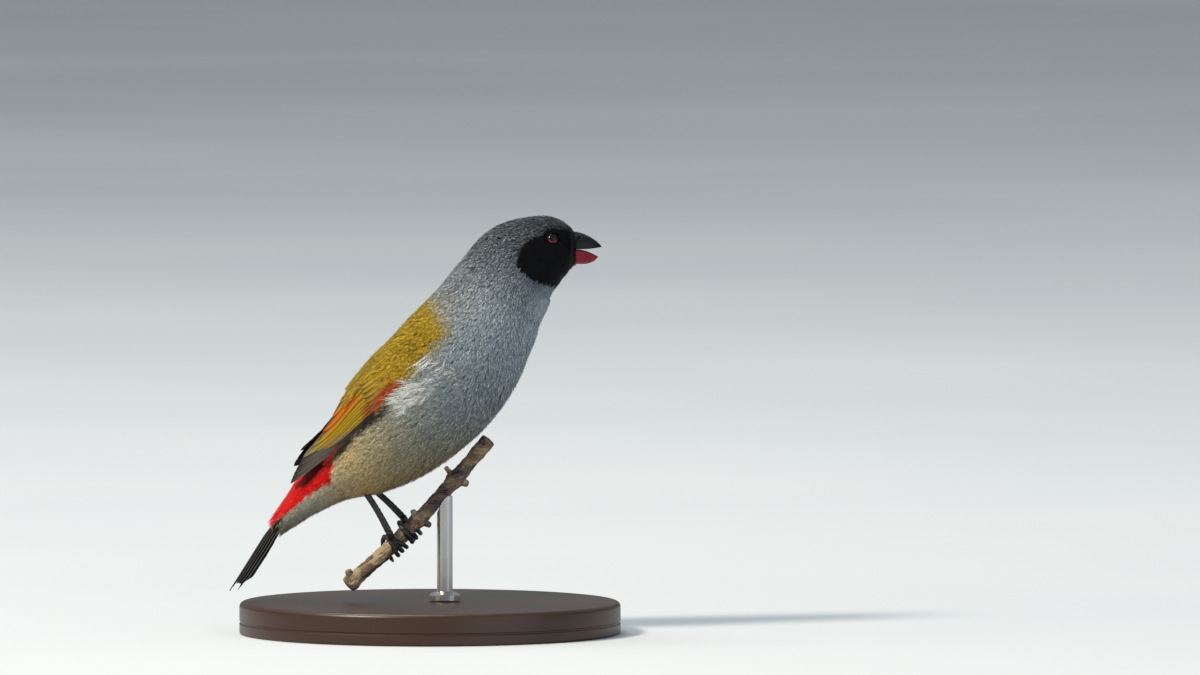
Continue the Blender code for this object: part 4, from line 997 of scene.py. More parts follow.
@dataclass(frozen=True)
class Plume:
    """Sizes of one kind of small feather: a shaft with a fan of barbs that join it edge to edge."""

    length: float
    width: float
    spacing: float
    barbs: int               # on each side of the shaft
    sink: float              # root below the ground level
    lift: float              # tip above it
    ragged: float = 0.16     # how unevenly its barbs end
    stray: float = 9.0       # degrees by which feathers leave the lie
    fuzz: float = 0.07       # how far barbs stand off the feather
    barb_half: float = 0.075

    def template(self) -> tuple[Array, Array, Array, Array, Array]:
        """One feather laid flat, with its shaft along the first axis.

        The barbs leave the shaft one after the other and reach an arch of tips, from nearly square to the shaft at
        its base to nearly along it at its end, each a quad to its middle and a triangle to its tip.

        Returns:
            Points (v, 2), each point's reach from the shaft (0) to a tip (1) and its barb, quads and triangles.
        """
        n = self.barbs
        shaft = np.stack([np.linspace(0.0, 0.72, n + 1) * self.length, np.zeros(n + 1)], axis=1)
        angle = np.radians(84.0 - 78.0 * (np.arange(n) + 0.5) / n)
        tips = np.stack([(0.53 + 0.45 * np.cos(angle)) * self.length, np.sin(angle) ** 0.9 * self.width / 2], axis=1)
        roots = (shaft[:-1] + shaft[1:]) / 2
        middles = roots + (tips - roots) * np.array([0.50, 0.64])
        way = unit(tips - roots)
        half = np.stack([way[:, 1], -way[:, 0]], axis=1) * self.barb_half
        right = np.stack([middles - half, middles + half, tips], axis=1)
        last = [[0.86 * self.length, -self.barb_half], [0.86 * self.length, self.barb_half], [self.length, 0.0]]
        points = np.concatenate([shaft, right.reshape(-1, 2), (right * np.array([1.0, -1.0])).reshape(-1, 2), last])
        reach = np.concatenate([np.zeros(n + 1), np.tile([0.55, 0.55, 1.0], 2 * n + 1)])
        barb = np.concatenate([np.zeros(n + 1, int), np.repeat(np.arange(2 * n + 1), 3)])
        root = np.arange(n)
        first = n + 1 + 3 * root
        second = first + 3 * n
        quads = np.concatenate([np.stack([root, root + 1, first + 1, first], axis=1),
                                np.stack([root + 1, root, second, second + 1], axis=1),
                                [[n, 7 * n + 1, 7 * n + 3, 7 * n + 2]]])
        triangles = np.concatenate([np.stack([first, first + 1, first + 2], axis=1),
                                    np.stack([second + 1, second, second + 2], axis=1)])
        return points, reach, barb, quads, triangles


@dataclass(frozen=True)
class Patch:
    """Where one piece of the coat grows. Its functions take arrays of arc lengths and turns."""

    name: str
    slot: str
    plume: Plume
    arcs: Pair
    seed: int
    keep: Callable[[Array, Array], Array]
    level: Callable[[Array, Array], Array]
    lie: Callable[[Array, Array], Array | float] = lambda arc, fold: 0.0


@dataclass
class Coat:
    """The small feathers, laid from the bill to the tail so that each tip covers the roots behind it."""

    trunk: Trunk

    def roots(self, patch: Patch, random: Random) -> tuple[Array, Array]:
        """Even but unruled places: an additive recurrence by the plastic number spreads points over a square, whose
        axes are stretched to turns and to arc lengths by the area of each stretch.

        Args:
            patch: What grows there.
            random: Source of the small steps off the even places.

        Returns:
            Arc lengths and turns of the roots.
        """
        fine = np.linspace(*patch.arcs, 300)
        girth = self.trunk.girth(fine)
        area = np.concatenate([[0.0], np.cumsum((girth[1:] + girth[:-1]) / 2 * np.diff(fine))])
        spacing = patch.plume.spacing
        count = int(area[-1] / spacing**2)
        plastic = 1.324717957244746
        index = np.arange(1, count + 1)
        arc = np.interp((index / plastic) % 1.0 * area[-1], area, fine)
        turn = ((index / plastic**2) % 1.0) * 360.0 - 180.0
        arc = arc + random.uniform(-0.25, 0.25, count) * spacing
        turn = turn + random.uniform(-0.25, 0.25, count) * spacing / 0.16
        kept = patch.keep(arc, turn)
        return arc[kept], turn[kept]

    def lay(self, patch: Patch, arc: Array, turn: Array, random: Random, dyer: Callable[..., Dye]) -> Shell:
        """Lays one feather at each root: flat points go to arc length and turn by the local scale, and the height
        rises from the sunk root to the lifted tip.

        Args:
            patch: What grows there.
            arc: Arc lengths of the roots.
            turn: Turns of the roots.
            random: Source of the small differences between feathers.
            dyer: Gives the colours from arc lengths, turns, places and the source.

        Returns:
            All the feathers as one surface.
        """
        plume = patch.plume
        flat, reach, barb, quads, triangles = plume.template()
        count, barbs = len(arc), 2 * plume.barbs + 1

        def each_barb(values: Array) -> Array:
            """A value of each barb at its points."""
            return values[:, barb]

        hand = np.sign(np.where(np.abs(turn) < 1e-6, 1.0, turn))
        lean = np.radians(patch.lie(arc, folded(turn)) * hand + random.normal(0.0, plume.stray, count))
        size = random.uniform(0.86, 1.12, count)
        strayed = plume.ragged * reach ** 2
        ragged = 1.0 + strayed * each_barb(random.uniform(-1.0, 0.7, (count, barbs)))
        along = flat[:, 0] * size[:, None] * ragged
        across = (flat[:, 1] * random.uniform(0.85, 1.1, count)[:, None] * ragged
                  + strayed * 0.35 * plume.width * each_barb(random.normal(0.0, 0.5, (count, barbs))))
        scale_arc, scale_turn, _ = self.trunk.steps(arc, turn)
        cosine, sine = np.cos(lean)[:, None], np.sin(lean)[:, None]
        arc_at = arc[:, None] + (along * cosine - across * sine) / scale_arc[:, None]
        turn_at = turn[:, None] + (along * sine + across * cosine) / scale_turn[:, None]
        rise = np.clip(flat[:, 0] / plume.length, 0.0, 1.0) ** 0.8
        roll = random.normal(0.0, 0.025, count)[:, None] * flat[:, 1] / max(plume.width, 0.1) * 2
        height = (patch.level(arc_at, turn_at) - plume.sink + (plume.sink + plume.lift) * rise + roll
                  + each_barb(random.normal(0.0, plume.fuzz, (count, barbs))) * reach
                  + random.normal(0.0, 0.025, count)[:, None] - 0.10 * np.abs(flat[:, 1]) / max(plume.width, 0.1))
        points = self.trunk.point(arc_at, turn_at, height)
        middle = (arc + 0.62 * plume.length * np.cos(lean) / scale_arc,
                  turn + 0.62 * plume.length * np.sin(lean) / scale_turn)
        dye = dyer(*middle, self.trunk.point(*middle), random)
        flecked = (random.random((count, barbs)) < dye.share[:, None]) * random.uniform(0.35, 1.0, (count, barbs))
        share = each_barb(flecked) * smooth_step(0.1, 0.9, reach)
        tone = random.uniform(0.90, 1.07, count)[:, None] * each_barb(random.uniform(0.62, 1.22, (count, barbs)))
        shade = (0.55 + 0.45 * smooth_step(0.15, 0.70, flat[:, 0] / plume.length)) * tone
        colours = dyed(dye.base[:, None], dye.fleck[:, None], share) * shade[..., None]
        _, _, normal = self.trunk.steps(arc_at, turn_at)
        normals = unit(0.80 * normal + 0.20 * self.face_normals(points, quads, triangles))
        inside = np.stack([flat[:, 1] / plume.width, flat[:, 0] / plume.length - 0.5], axis=1) * PATCH_SIZE
        places = self.trunk.unwrap(arc, turn)[:, None] + inside[None]
        start = (np.arange(count) * len(flat))[:, None, None]
        return Shell(points.reshape(-1, 3), (quads + start).reshape(-1, 4), (triangles + start).reshape(-1, 3),
                     np.clip(colours, 0.0, 1.0).reshape(-1, 3), places.reshape(-1, 2), normals.reshape(-1, 3))

    @staticmethod
    def face_normals(points: Array, quads: Array, triangles: Array) -> Array:
        """Normal at each point of each feather, summed from the faces that meet there."""
        normals = np.zeros_like(points)
        for faces in (quads, triangles):
            cross = np.cross(points[:, faces[:, 1]] - points[:, faces[:, 0]],
                             points[:, faces[:, 2]] - points[:, faces[:, 0]])
            for corner in range(faces.shape[1]):
                np.add.at(normals, (slice(None), faces[:, corner]), cross)
        return unit(normals)

    def build(self, patches: list[Patch], finish: Material, dyer: Callable[..., Dye]) -> None:
        """Makes each patch a piece of its own."""
        for patch in patches:
            random = np.random.default_rng(patch.seed)
            shell = self.lay(patch, *self.roots(patch, random), random, dyer)
            make_piece(patch.name, shell, finish, baked=True)


def anywhere(arc: Array, turn: Array) -> Array:
    """A test of places that every one passes."""
    return np.ones(len(arc), bool)


def outline(arc: Array, turn: Array) -> Array:
    """Level of feathers that lie on the outline itself."""
    return np.zeros(np.shape(arc))


@dataclass
class Plumage:
    """The coat pieces of head, neck and body, each with its own feathers and bounds."""

    trunk: Trunk
    markings: Markings
    eye_spot: Pair           # arc length and turn of the right eye
    eye_clear: float = 1.22
    mound: float = 0.45

    def masked(self, arc: Array, turn: Array) -> Array:
        """Whether each place lies in the black mask, a little widened."""
        points = self.trunk.point(arc, turn)
        return (signed_depth(points[:, [0, 2]], self.markings.mask_outline) > -0.5) & (arc < 12.0)

    def from_eye(self, arc: Array, turn: Array) -> Array:
        """Distance from the nearer eye: that of the place on the right side from the right eye."""
        return np.linalg.norm(self.trunk.point(arc, folded(turn)) - self.trunk.point(*self.eye_spot), axis=-1)

    def off_eye(self, arc: Array, turn: Array, length: float) -> Array:
        """Whether feathers of a length stay clear of the lids from root to tip."""
        return np.all([self.from_eye(arc + share * length, turn) > self.eye_clear
                       for share in (0.0, 0.4, 0.8)], axis=0)

    def under_wing(self, arc: Array, turn: Array) -> Array:
        """Whether a place is covered by a folded wing or lies between the two."""
        return (arc > 29.0) & (arc < 62.0) & (folded(turn) < table_value(self.trunk.wing_low, arc) - 5.0)

    def face_level(self, arc: Array, turn: Array) -> Array:
        """Level of the head's feathers: the outline, raised round each eye to meet its lids."""
        return self.mound * smooth_step(3.4, 1.2, self.from_eye(arc, turn))

    @staticmethod
    def flank_level(arc: Array, turn: Array) -> Array:
        """Level of the belly's feathers: the outline, fluffed up at the flank's end."""
        fold = folded(turn)
        return (0.8 * smooth_step(52.0, 61.0, arc) * smooth_step(72.0, 92.0, fold)
                * smooth_step(176.0, 140.0, fold))

    @staticmethod
    def sweep(arc: Array, fold: Array) -> Array:
        """Lie on the flank: up over the lower edge of the wing."""
        return -16.0 * smooth_step(26.0, 34.0, arc) * smooth_step(58.0, 44.0, arc) * bell(fold, 84.0, 26.0)

    def patches(self) -> list[Patch]:
        """The coat's pieces from the face to the tail coverts."""
        ground, face, trunk = self.trunk.ground, self.face_level, self.trunk
        return [
            Patch("coat_bill_base", "crown_plumage", Plume(0.95, 0.5, 0.26, 4, 0.30, 0.16, 0.16, 14.0, 0.05, 0.05),
                  (0.15, 1.0), 10, anywhere, ground, lambda a, f: 180.0),
            Patch("coat_mask", "crown_plumage", Plume(1.05, 0.62, 0.33, 4, 0.36, 0.05, 0.16, 9.0, 0.035, 0.06),
                  (-0.35, 12.0), 11, lambda a, t: self.masked(a, t) & self.off_eye(a, t, 1.0), face),
            Patch("coat_crown", "crown_plumage", Plume(1.5, 0.75, 0.40, 5, 0.45, 0.06, 0.16, 9.0, 0.05, 0.06),
                  (-0.2, 13.0), 12, lambda a, t: ~self.masked(a, t) & self.off_eye(a, t, 1.4), face),
            Patch("coat_neck", "neck_plumage", Plume(2.1, 0.9, 0.48, 6, 0.75, 0.07, 0.16, 6.0, 0.055, 0.06),
                  (12.0, 26.5), 13, anywhere, outline),
            Patch("coat_breast", "neck_plumage", Plume(2.5, 1.1, 0.55, 7, 0.95, 0.07, 0.16, 6.5, 0.06, 0.065),
                  (26.0, 43.0), 14, lambda a, t: (folded(t) > 54.0) & ~self.under_wing(a, t), outline, self.sweep),
            Patch("coat_belly", "belly_plumage", Plume(2.8, 1.3, 0.58, 7, 1.05, 0.10, 0.16, 9.0, 0.10, 0.07),
                  (42.0, 62.5), 15, lambda a, t: (folded(t) > 60.0) & ~self.under_wing(a, t), self.flank_level,
                  self.sweep),
            Patch("coat_mantle", "wing_plumage", Plume(2.2, 1.05, 0.50, 7, 0.85, 0.08, barb_half=0.07),
                  (25.0, 50.0), 16, lambda a, t: (folded(t) < np.maximum(
                      table_value(trunk.wing_top, a) + 6.0, 62.0 * (a < 29.0))), outline),
            Patch("coat_rump", "rump_plumage", Plume(3.1, 1.35, 0.56, 8, 0.75, 0.12, fuzz=0.08),
                  (55.0, 76.6), 17, lambda a, t: folded(t) < 82.0, ground),
            Patch("coat_vent", "belly_plumage", Plume(3.2, 1.45, 0.58, 8, 0.8, 0.12, fuzz=0.10),
                  (62.0, 76.8), 18, lambda a, t: folded(t) > 76.0, ground),
        ]


@dataclass(frozen=True)
class Tier:
    """One row of long wing feathers, from its innermost (share 0) to its outermost (share 1).

    Each pair of numbers gives a value at share 0 and at share 1.
    """

    name: str
    count: int
    root_arc: Pair
    root_turn: Pair
    tip_arc: Pair
    tip_turn: Pair
    width: Pair
    height: Pair
    blunt: float             # share of the length where the tip begins
    sweep: float             # power by which it bends
    edge: str
    web: str
    inner: str
    edge_share: float
    settle: float = 0.0      # how far it rises past the ends of the rows above it


TIERS = (
    Tier("primary", 9, (43.0, 43.0), (59.0, 66.0), (65.4, 69.7), (27.0, 36.0), (3.0, 2.6), (-1.20, -1.66), 0.72, 1.7,
         "#6f665b", "#1f1b18", "#0e0c0b", 0.05, 0.45),
    Tier("secondary", 6, (41.0, 41.0), (47.0, 62.0), (66.0, 62.6), (25.0, 45.0), (3.2, 3.0), (-0.72, -1.16), 0.70,
         1.25, "#a98710", "#564711", "#241e10", 0.30),
    Tier("tertial", 3, (39.5, 39.5), (25.0, 40.0), (57.4, 63.8), (16.0, 25.0), (4.2, 3.7), (-0.34, -0.60), 0.66,
         1.25, "#b58e10", "#6b5710", "#463810", 0.32),
    Tier("greater_covert", 9, (35.5, 34.8), (29.0, 70.0), (48.8, 50.6), (24.0, 68.0), (2.9, 2.6), (-0.20, -0.34),
         0.66, 1.1, "#b58e10", "#725d10", "#5a4910", 0.38),
)


@dataclass
class Wing:
    """A folded wing: a firm base, long vanes in tiers and small coverts over them."""

    side: Side
    trunk: Trunk
    markings: WingMarkings
    coat: Coat
    seed: int
    tip_lift: float          # how far its tip is held above the other wing's
    tip_reach: float         # how far its longest feathers pass the tier's own tips
    tip_raise: float = 2.65
    lift_start: float = 56.0
    core_back: float = 60.0
    core_floor: float = -2.02
    core_thick: Table = ((0.0, 1.35), (0.35, 1.25), (0.6, 0.6), (1.0, 0.3))
    vane_rows: int = 26
    vane_columns: int = 9
    vane_thick: float = 0.16
    vane_tilt: float = 0.07
    shaft: str = "#241c12"

    def raise_at(self, arc: Array) -> Array:
        """How far the wing's tip rides up at an arc length."""
        return (self.tip_raise + self.tip_lift) * smooth_step(self.lift_start, self.trunk.wing_back, arc)

    def plate(self, arc: Array, turns: Array, top: Array, bottom: Array) -> Shell:
        """A slab on this wing between two heights."""
        turns = turns * self.side.value
        return slab(self.trunk.point(arc[:, None], turns, top), self.trunk.point(arc[:, None], turns, bottom))

    def core(self) -> Shell:
        """Base of the wing: a plate between two edges that draw together to its back, its top domed."""
        t = even(40)
        u = even(25)
        arc = self.trunk.wing_front + (self.core_back - self.trunk.wing_front) * t
        top_edge = table_value(self.trunk.wing_top, arc) + 2.0
        breadth = table_value(self.trunk.wing_low, arc) - 1.5 - top_edge
        narrow = 2.0 * smooth_step(0.2, 0.0, t) + breadth * 0.30 * smooth_step(0.45, 1.0, t)
        turns = (top_edge + narrow)[:, None] + (breadth - 2 * narrow)[:, None] * u[None, :]
        dome = np.sqrt(np.sin(np.pi * (0.05 + 0.90 * u)))[None, :]
        dome = dome * np.sqrt(np.sin(np.pi * (0.06 + 0.86 * t)))[:, None]
        floor = self.core_floor + self.raise_at(arc)[:, None] + 0.0 * u[None, :]
        shell = self.plate(arc, turns, floor + 0.2 + table_value(self.core_thick, t)[:, None] * dome, floor)
        shell.colours = np.broadcast_to(linear(self.markings.olive_dark), shell.points.shape) * 0.6
        shell.place = self.trunk.unwrap(np.tile(np.repeat(arc, len(u)), 2),
                                        np.tile(turns.ravel(), 2) * self.side.value)
        return shell

    def vane(self, tier: Tier, share: float, random: Random) -> Shell:
        """One long feather: a thin blade with a raised shaft along a line in arc length and turn, its half width
        held and then rounded off as a quarter ellipse to the tip.

        Args:
            tier: Its row.
            share: Its place in the row.
            random: Source of its small differences.

        Returns:
            The closed blade.
        """
        t = np.concatenate([np.linspace(0.0, 0.86, self.vane_rows - 7), np.linspace(0.885, 1.0, 7) ** 0.9])
        root_arc, root_turn = between(tier.root_arc, share), between(tier.root_turn, share)
        reach = self.tip_reach if tier.name == "primary" else 0.0
        length = between(tier.tip_arc, share) + reach + random.uniform(-0.22, 0.22) - root_arc
        bend = between(tier.tip_turn, share) + random.uniform(-0.6, 0.6) - root_turn
        arc = root_arc + length * t
        turn = root_turn + bend * t**tier.sweep
        body = 0.62 + 0.38 * smooth_step(0.0, 0.35, t)
        taper = np.sqrt(np.clip(1.0 - ((t - tier.blunt) / (1.0 - tier.blunt)) ** 2, 0.0, 1.0))
        half = 0.5 * between(tier.width, share) * np.where(t > tier.blunt, np.maximum(taper, 0.10), 1.0) * body
        radii = self.trunk.radii(arc)
        local = np.hypot(radii[:, 0] * np.cos(np.radians(turn)), radii[:, 2] * np.sin(np.radians(turn)))
        u = np.linspace(-1.0, 1.0, self.vane_columns)
        ragged = 1.0 + random.uniform(-0.035, 0.0, (len(t), 1)) * (np.abs(u) > 0.99)
        turns = np.maximum(turn[:, None] + np.degrees(half / np.maximum(local, 2.5))[:, None] * u * ragged, 3.5)
        shaft = 0.07 * bell(u, 0.0, 0.10) * (1.0 - 0.7 * t[:, None])
        camber = -0.05 * np.abs(u) ** 1.6 + self.vane_tilt * u
        sunk = 0.35 * smooth_step(0.22, 0.0, t)
        settled = tier.settle * smooth_step(59.0, 66.0, arc)
        height = (between(tier.height, share) + self.raise_at(arc) + settled - sunk)[:, None] + camber + shaft
        thick = self.vane_thick * (1.0 - 0.75 * np.abs(u) ** 2) * (1.0 - 0.6 * t[:, None])
        shell = self.plate(arc, turns, height, height - thick)
        shell.place = blade_places(half[:, None] * u, t * length)
        shell.colours = self.vane_colours(tier, shell.points, np.tile(u, 2 * len(t)), random)
        return shell

    def vane_colours(self, tier: Tier, points: Array, across: Array, random: Random) -> Array:
        """Colours of a blade: its edge outside, its web within and its dark inner web, with the wing's own patches.

        The outer web is the one towards the belly, where across is above 0.
        """
        covert = self.markings.covert(points, random)
        colour = dyed(tier.inner, tier.web, smooth_step(-0.35, 0.15, across))
        rim = 1.0 - tier.edge_share
        colour = dyed(colour, tier.edge, smooth_step(rim - 0.2, rim + 0.1, across))
        if tier.name != "primary":
            warm = np.clip((covert.base[:, 0] - covert.base[:, 1]) / 0.12, 0.0, 1.0)
            colour = dyed(colour, covert.base, 0.85 * warm * smooth_step(-0.5, 0.3, across))
            colour = dyed(colour, self.markings.tan, 0.8 * self.markings.tanned(points))
        return dyed(colour, self.shaft, 0.75 * bell(across, 0.0, 0.07)) * random.uniform(0.9, 1.1)

    def small_coverts(self) -> list[Patch]:
        """Patches of small feathers: on the shoulder, over the roots of the long ones, and the scapulars."""
        def patch(name: str, number: int, plume: Plume, arcs: Pair, low: float, high: float, height: float) -> Patch:
            """One patch between two shares of the wing's breadth, drawn down towards the wing's two edges."""
            def keep(arc: Array, turn: Array) -> Array:
                """Whether a place lies in the patch."""
                turn = turn * self.side.value
                share = self.trunk.on_wing(arc, turn)
                return (turn > 0.0) & (share > low) & (share < high) & (arc > arcs[0])

            def level(arc: Array, turn: Array) -> Array:
                """Its level."""
                share = np.clip(self.trunk.on_wing(arc, turn * self.side.value), 0.0, 1.0)
                return height - 0.45 * np.abs(2 * share - 1) ** 6 + self.raise_at(arc)

            return Patch(f"{name}_{self.side.word}", "wing_plumage", plume, arcs, self.seed + number, keep, level)

        return [patch("lesser_coverts", 1, Plume(2.0, 0.95, 0.50, 7, 0.85, 0.06, 0.16, 9.0, 0.05, 0.065),
                      (24.6, 39.5), -0.05, 0.97, 0.02),
                patch("median_coverts", 2, Plume(3.4, 1.35, 0.74, 9, 0.75, 0.05, 0.16, 5.0, 0.05, 0.07),
                      (33.0, 43.5), 0.02, 0.96, -0.10),
                patch("scapulars", 3, Plume(3.6, 1.3, 0.72, 9, 0.8, 0.06, 0.16, 5.0, 0.05, 0.07),
                      (36.0, 51.0), -0.10, 0.34, 0.02)]

    def build(self, vane: Material, soft: Material) -> None:
        """Makes the wing's pieces: the base stands for the wing's node."""
        word = self.side.word
        make_piece(f"wing_base_{word}", self.core(), soft, (f"wing_{word}",), baked=True)
        random = np.random.default_rng(self.seed)
        for tier in TIERS:
            vanes = [self.vane(tier, i / (tier.count - 1), random) for i in range(tier.count)]
            make_piece(f"{tier.name}_feathers_{word}", Shell.joined(vanes), vane)
        self.coat.build(self.small_coverts(), soft, lambda a, t, p, r: self.markings.covert(p, r))


@dataclass
class FlankPlumes:
    """Loose white plumes of a flank that curl up over the wing's lower edge."""

    side: Side
    coat: Coat
    seed: int = 31
    white: str = "#f2f4f1"
    grey: str = "#b8bfbb"
    groups: tuple[tuple[int, Plume, Pair, Pair, Pair, float], ...] = (
        # count, feather, arc lengths, turns, lean and whiteness: the thick bunch, the fine strands above it,
        # the long curved ones in front and the thin trail that leads up to the breast
        (60, Plume(4.4, 1.2, 1.0, 7, 0.75, 0.36, 0.45, 11.0, 0.13, 0.026), (37.0, 43.5), (77.0, 92.0),
         (-34.0, -16.0), 0.9),
        (9, Plume(4.4, 0.5, 1.0, 4, 0.30, 0.42, 0.45, 9.0, 0.12, 0.02), (32.8, 35.4), (64.0, 72.0),
         (-22.0, -4.0), 1.0),
        (6, Plume(3.6, 0.4, 1.0, 4, 0.30, 0.42, 0.45, 14.0, 0.12, 0.02), (31.0, 35.0), (76.0, 84.0),
         (-40.0, 0.0), 0.7),
        (24, Plume(3.2, 0.9, 1.0, 6, 0.80, 0.16, 0.40, 10.0, 0.10, 0.026), (32.5, 38.0), (83.0, 94.0),
         (-32.0, -14.0), 0.6),
    )

    def build(self, finish: Material) -> None:
        """Makes one piece of the groups: white flecks on a grey that each feather has more or less of."""
        random = np.random.default_rng(self.seed + int(self.side.value))
        shells = []
        for count, plume, arcs, turns, leans, whiteness in self.groups:
            arc, fold, lean = (random.uniform(*pair, count) for pair in (arcs, turns, leans))
            patch = Patch("plumes", "belly_plumage", plume, arcs, 0, anywhere, outline, lambda a, f: lean)

            def dye(arc: Array, turn: Array, points: Array, random: Random) -> Dye:
                """Colours of one group."""
                base = dyed(self.grey, self.white, random.uniform(0.0, 1.0, len(arc)) * whiteness)
                return Dye(base, np.broadcast_to(linear(self.white), base.shape), np.full(len(arc), 0.6))

            shells.append(self.coat.lay(patch, arc, fold * self.side.value, random, dye))
        make_piece(f"flank_plumes_{self.side.word}", Shell.joined(shells), finish, baked=True)


@dataclass
class Tail:
    """Twelve black tail feathers, the middle pair longest and on top, each next pair below and outside it."""

    trunk: Trunk
    way: Pair = (-0.534, -0.846)
    start: float = -1.8
    length: float = 14.6
    lengths: tuple[float, ...] = (1.0, 0.88, 0.865, 0.85, 0.84, 0.93)
    slender_pairs: tuple[int, ...] = (0, 5)
    top: float = 1.05
    step: float = 0.13
    leans: Pair = (9.0, 74.0)     # of the first and the last pair
    wide: Pair = (2.7, 3.1)       # half axes of the arch at the root and at the tip
    high: Pair = (1.45, 1.15)
    width: float = 2.6
    rows: int = 40
    columns: int = 9
    thick: float = 0.16
    seed: int = 71
    black: str = "#040506"
    sheen_grey: str = "#3a3c3f"
    edge_grey: str = "#5f5e5d"

    def placed(self, along: Array, across: Array, above: Array) -> Array:
        """Places given along the tail's middle line, (rows,), and across and above it, (rows, columns)."""
        direction = unit(np.array([self.way[0], 0.0, self.way[1]]))
        centre, _ = self.trunk.line(np.array(self.trunk.length))
        points = (np.array([centre[0], 0.0, centre[1]]) + along[:, None, None] * direction
                  + above[..., None] * np.array([direction[2], 0.0, -direction[0]]))
        points[..., 1] = across
        return points

    def feather(self, pair: int, sign: float, random: Random) -> Shell:
        """One tail feather: a straight blade with a raised shaft, its half width held and then narrowed to the tip.
        Its middle line lies on an arch across the tail, half an ellipse, and its web follows the arch there.

        Args:
            pair: Number of its pair, 0 in the middle.
            sign: 1 for the left one, -1 for the right one.
            random: Source of its small differences.

        Returns:
            The closed blade.
        """
        left = sign > 0
        length = self.length * self.lengths[pair] - (0.9 if left else 0.0)
        t = np.concatenate([np.linspace(0.0, 0.78, self.rows - 16), np.linspace(0.79, 1.0, 16)])
        along = self.start + (length - self.start) * t
        rounded = np.sqrt(np.clip(1.0 - (np.clip(t - 0.82, 0.0, 1.0) / 0.18) ** 2, 0.0, 1.0))
        slender = 1.0 - 0.80 * smooth_step(0.74, 0.90, t) - 0.17 * smooth_step(0.90, 1.0, t)
        taper = slender if pair in self.slender_pairs else rounded
        half = 0.5 * self.width * (0.60 + 0.40 * smooth_step(0.0, 0.45, t)) * np.maximum(taper, 0.04)
        lean = np.radians(between(self.leans, pair / (len(self.lengths) - 1)))
        wide, high = between(self.wide, t), between(self.high, t)
        tangent = unit(np.stack([wide * math.cos(lean), -high * math.sin(lean)], axis=-1))
        normal = np.stack([-tangent[:, 1], tangent[:, 0]], axis=-1)
        sunk = self.step * pair + (0.10 if left else 0.0) + 0.30 * smooth_step(0.3, 0.0, t)
        middle = np.stack([wide * math.sin(lean), self.top - high * (1 - math.cos(lean))], axis=-1)
        middle = middle - sunk[:, None] * normal
        u = np.linspace(-1.0, 1.0, self.columns)
        ragged = 1.0 + random.uniform(-0.05, 0.0, (len(t), 1)) * (np.abs(u) > 0.99)
        across = (half[:, None] * u * ragged)[..., None]
        rise = (0.06 * bell(u, 0.0, 0.10) * (1.0 - 0.7 * t[:, None]) - 0.10 * u**2 + 0.05 * u)[..., None]
        face = middle[:, None] + across * tangent[:, None] + rise * normal[:, None]
        thick = (self.thick * (1.0 - 0.75 * u**2) * (1.0 - 0.5 * t[:, None]))[..., None]
        shell = slab(*(self.placed(along, sign * flat[..., 0], flat[..., 1])
                       for flat in (face, face - thick * normal[:, None])))
        shell.place = blade_places(half[:, None] * u, along)
        out = np.tile(u, 2 * len(t))
        colour = dyed(self.black, self.sheen_grey, 0.7 * bell(out, 0.0, 0.12))
        edge = smooth_step(0.72, 0.95, out) * random.uniform(0.3, 1.0)
        shell.colours = dyed(colour, self.edge_grey, edge) * random.uniform(0.85, 1.15)
        return shell

    def stump(self) -> Shell:
        """Flesh that the feathers grow from: a flattened tube that shrinks along the tail."""
        t = even(20)
        high = 0.75 * np.sqrt(np.clip(1 - t**2.4, 0.002, 1.0)) * rounded_ends(20, 0.12)
        wide = 2.2 * np.sqrt(np.clip(1 - t**2.0, 0.002, 1.0)) * rounded_ends(20, 0.12)
        angle = circle(28)
        shell = closed_tube(self.placed(-0.6 + 6.0 * t, wide[:, None] * np.sin(angle),
                                        high[:, None] * np.cos(angle) - 0.20))
        shell.colours = np.broadcast_to(linear(self.black), shell.points.shape).copy()
        shell.place = np.zeros((len(shell.points), 2))
        return shell

    def build(self, finish: Material) -> None:
        """Makes the tail as one piece of thirteen bodies."""
        random = np.random.default_rng(self.seed)
        shells = [self.stump()] + [self.feather(pair, sign, random)
                                   for pair in range(len(self.lengths)) for sign in (-1.0, 1.0)]
        make_piece("tail_feathers", Shell.joined(shells), finish, ("tail",))


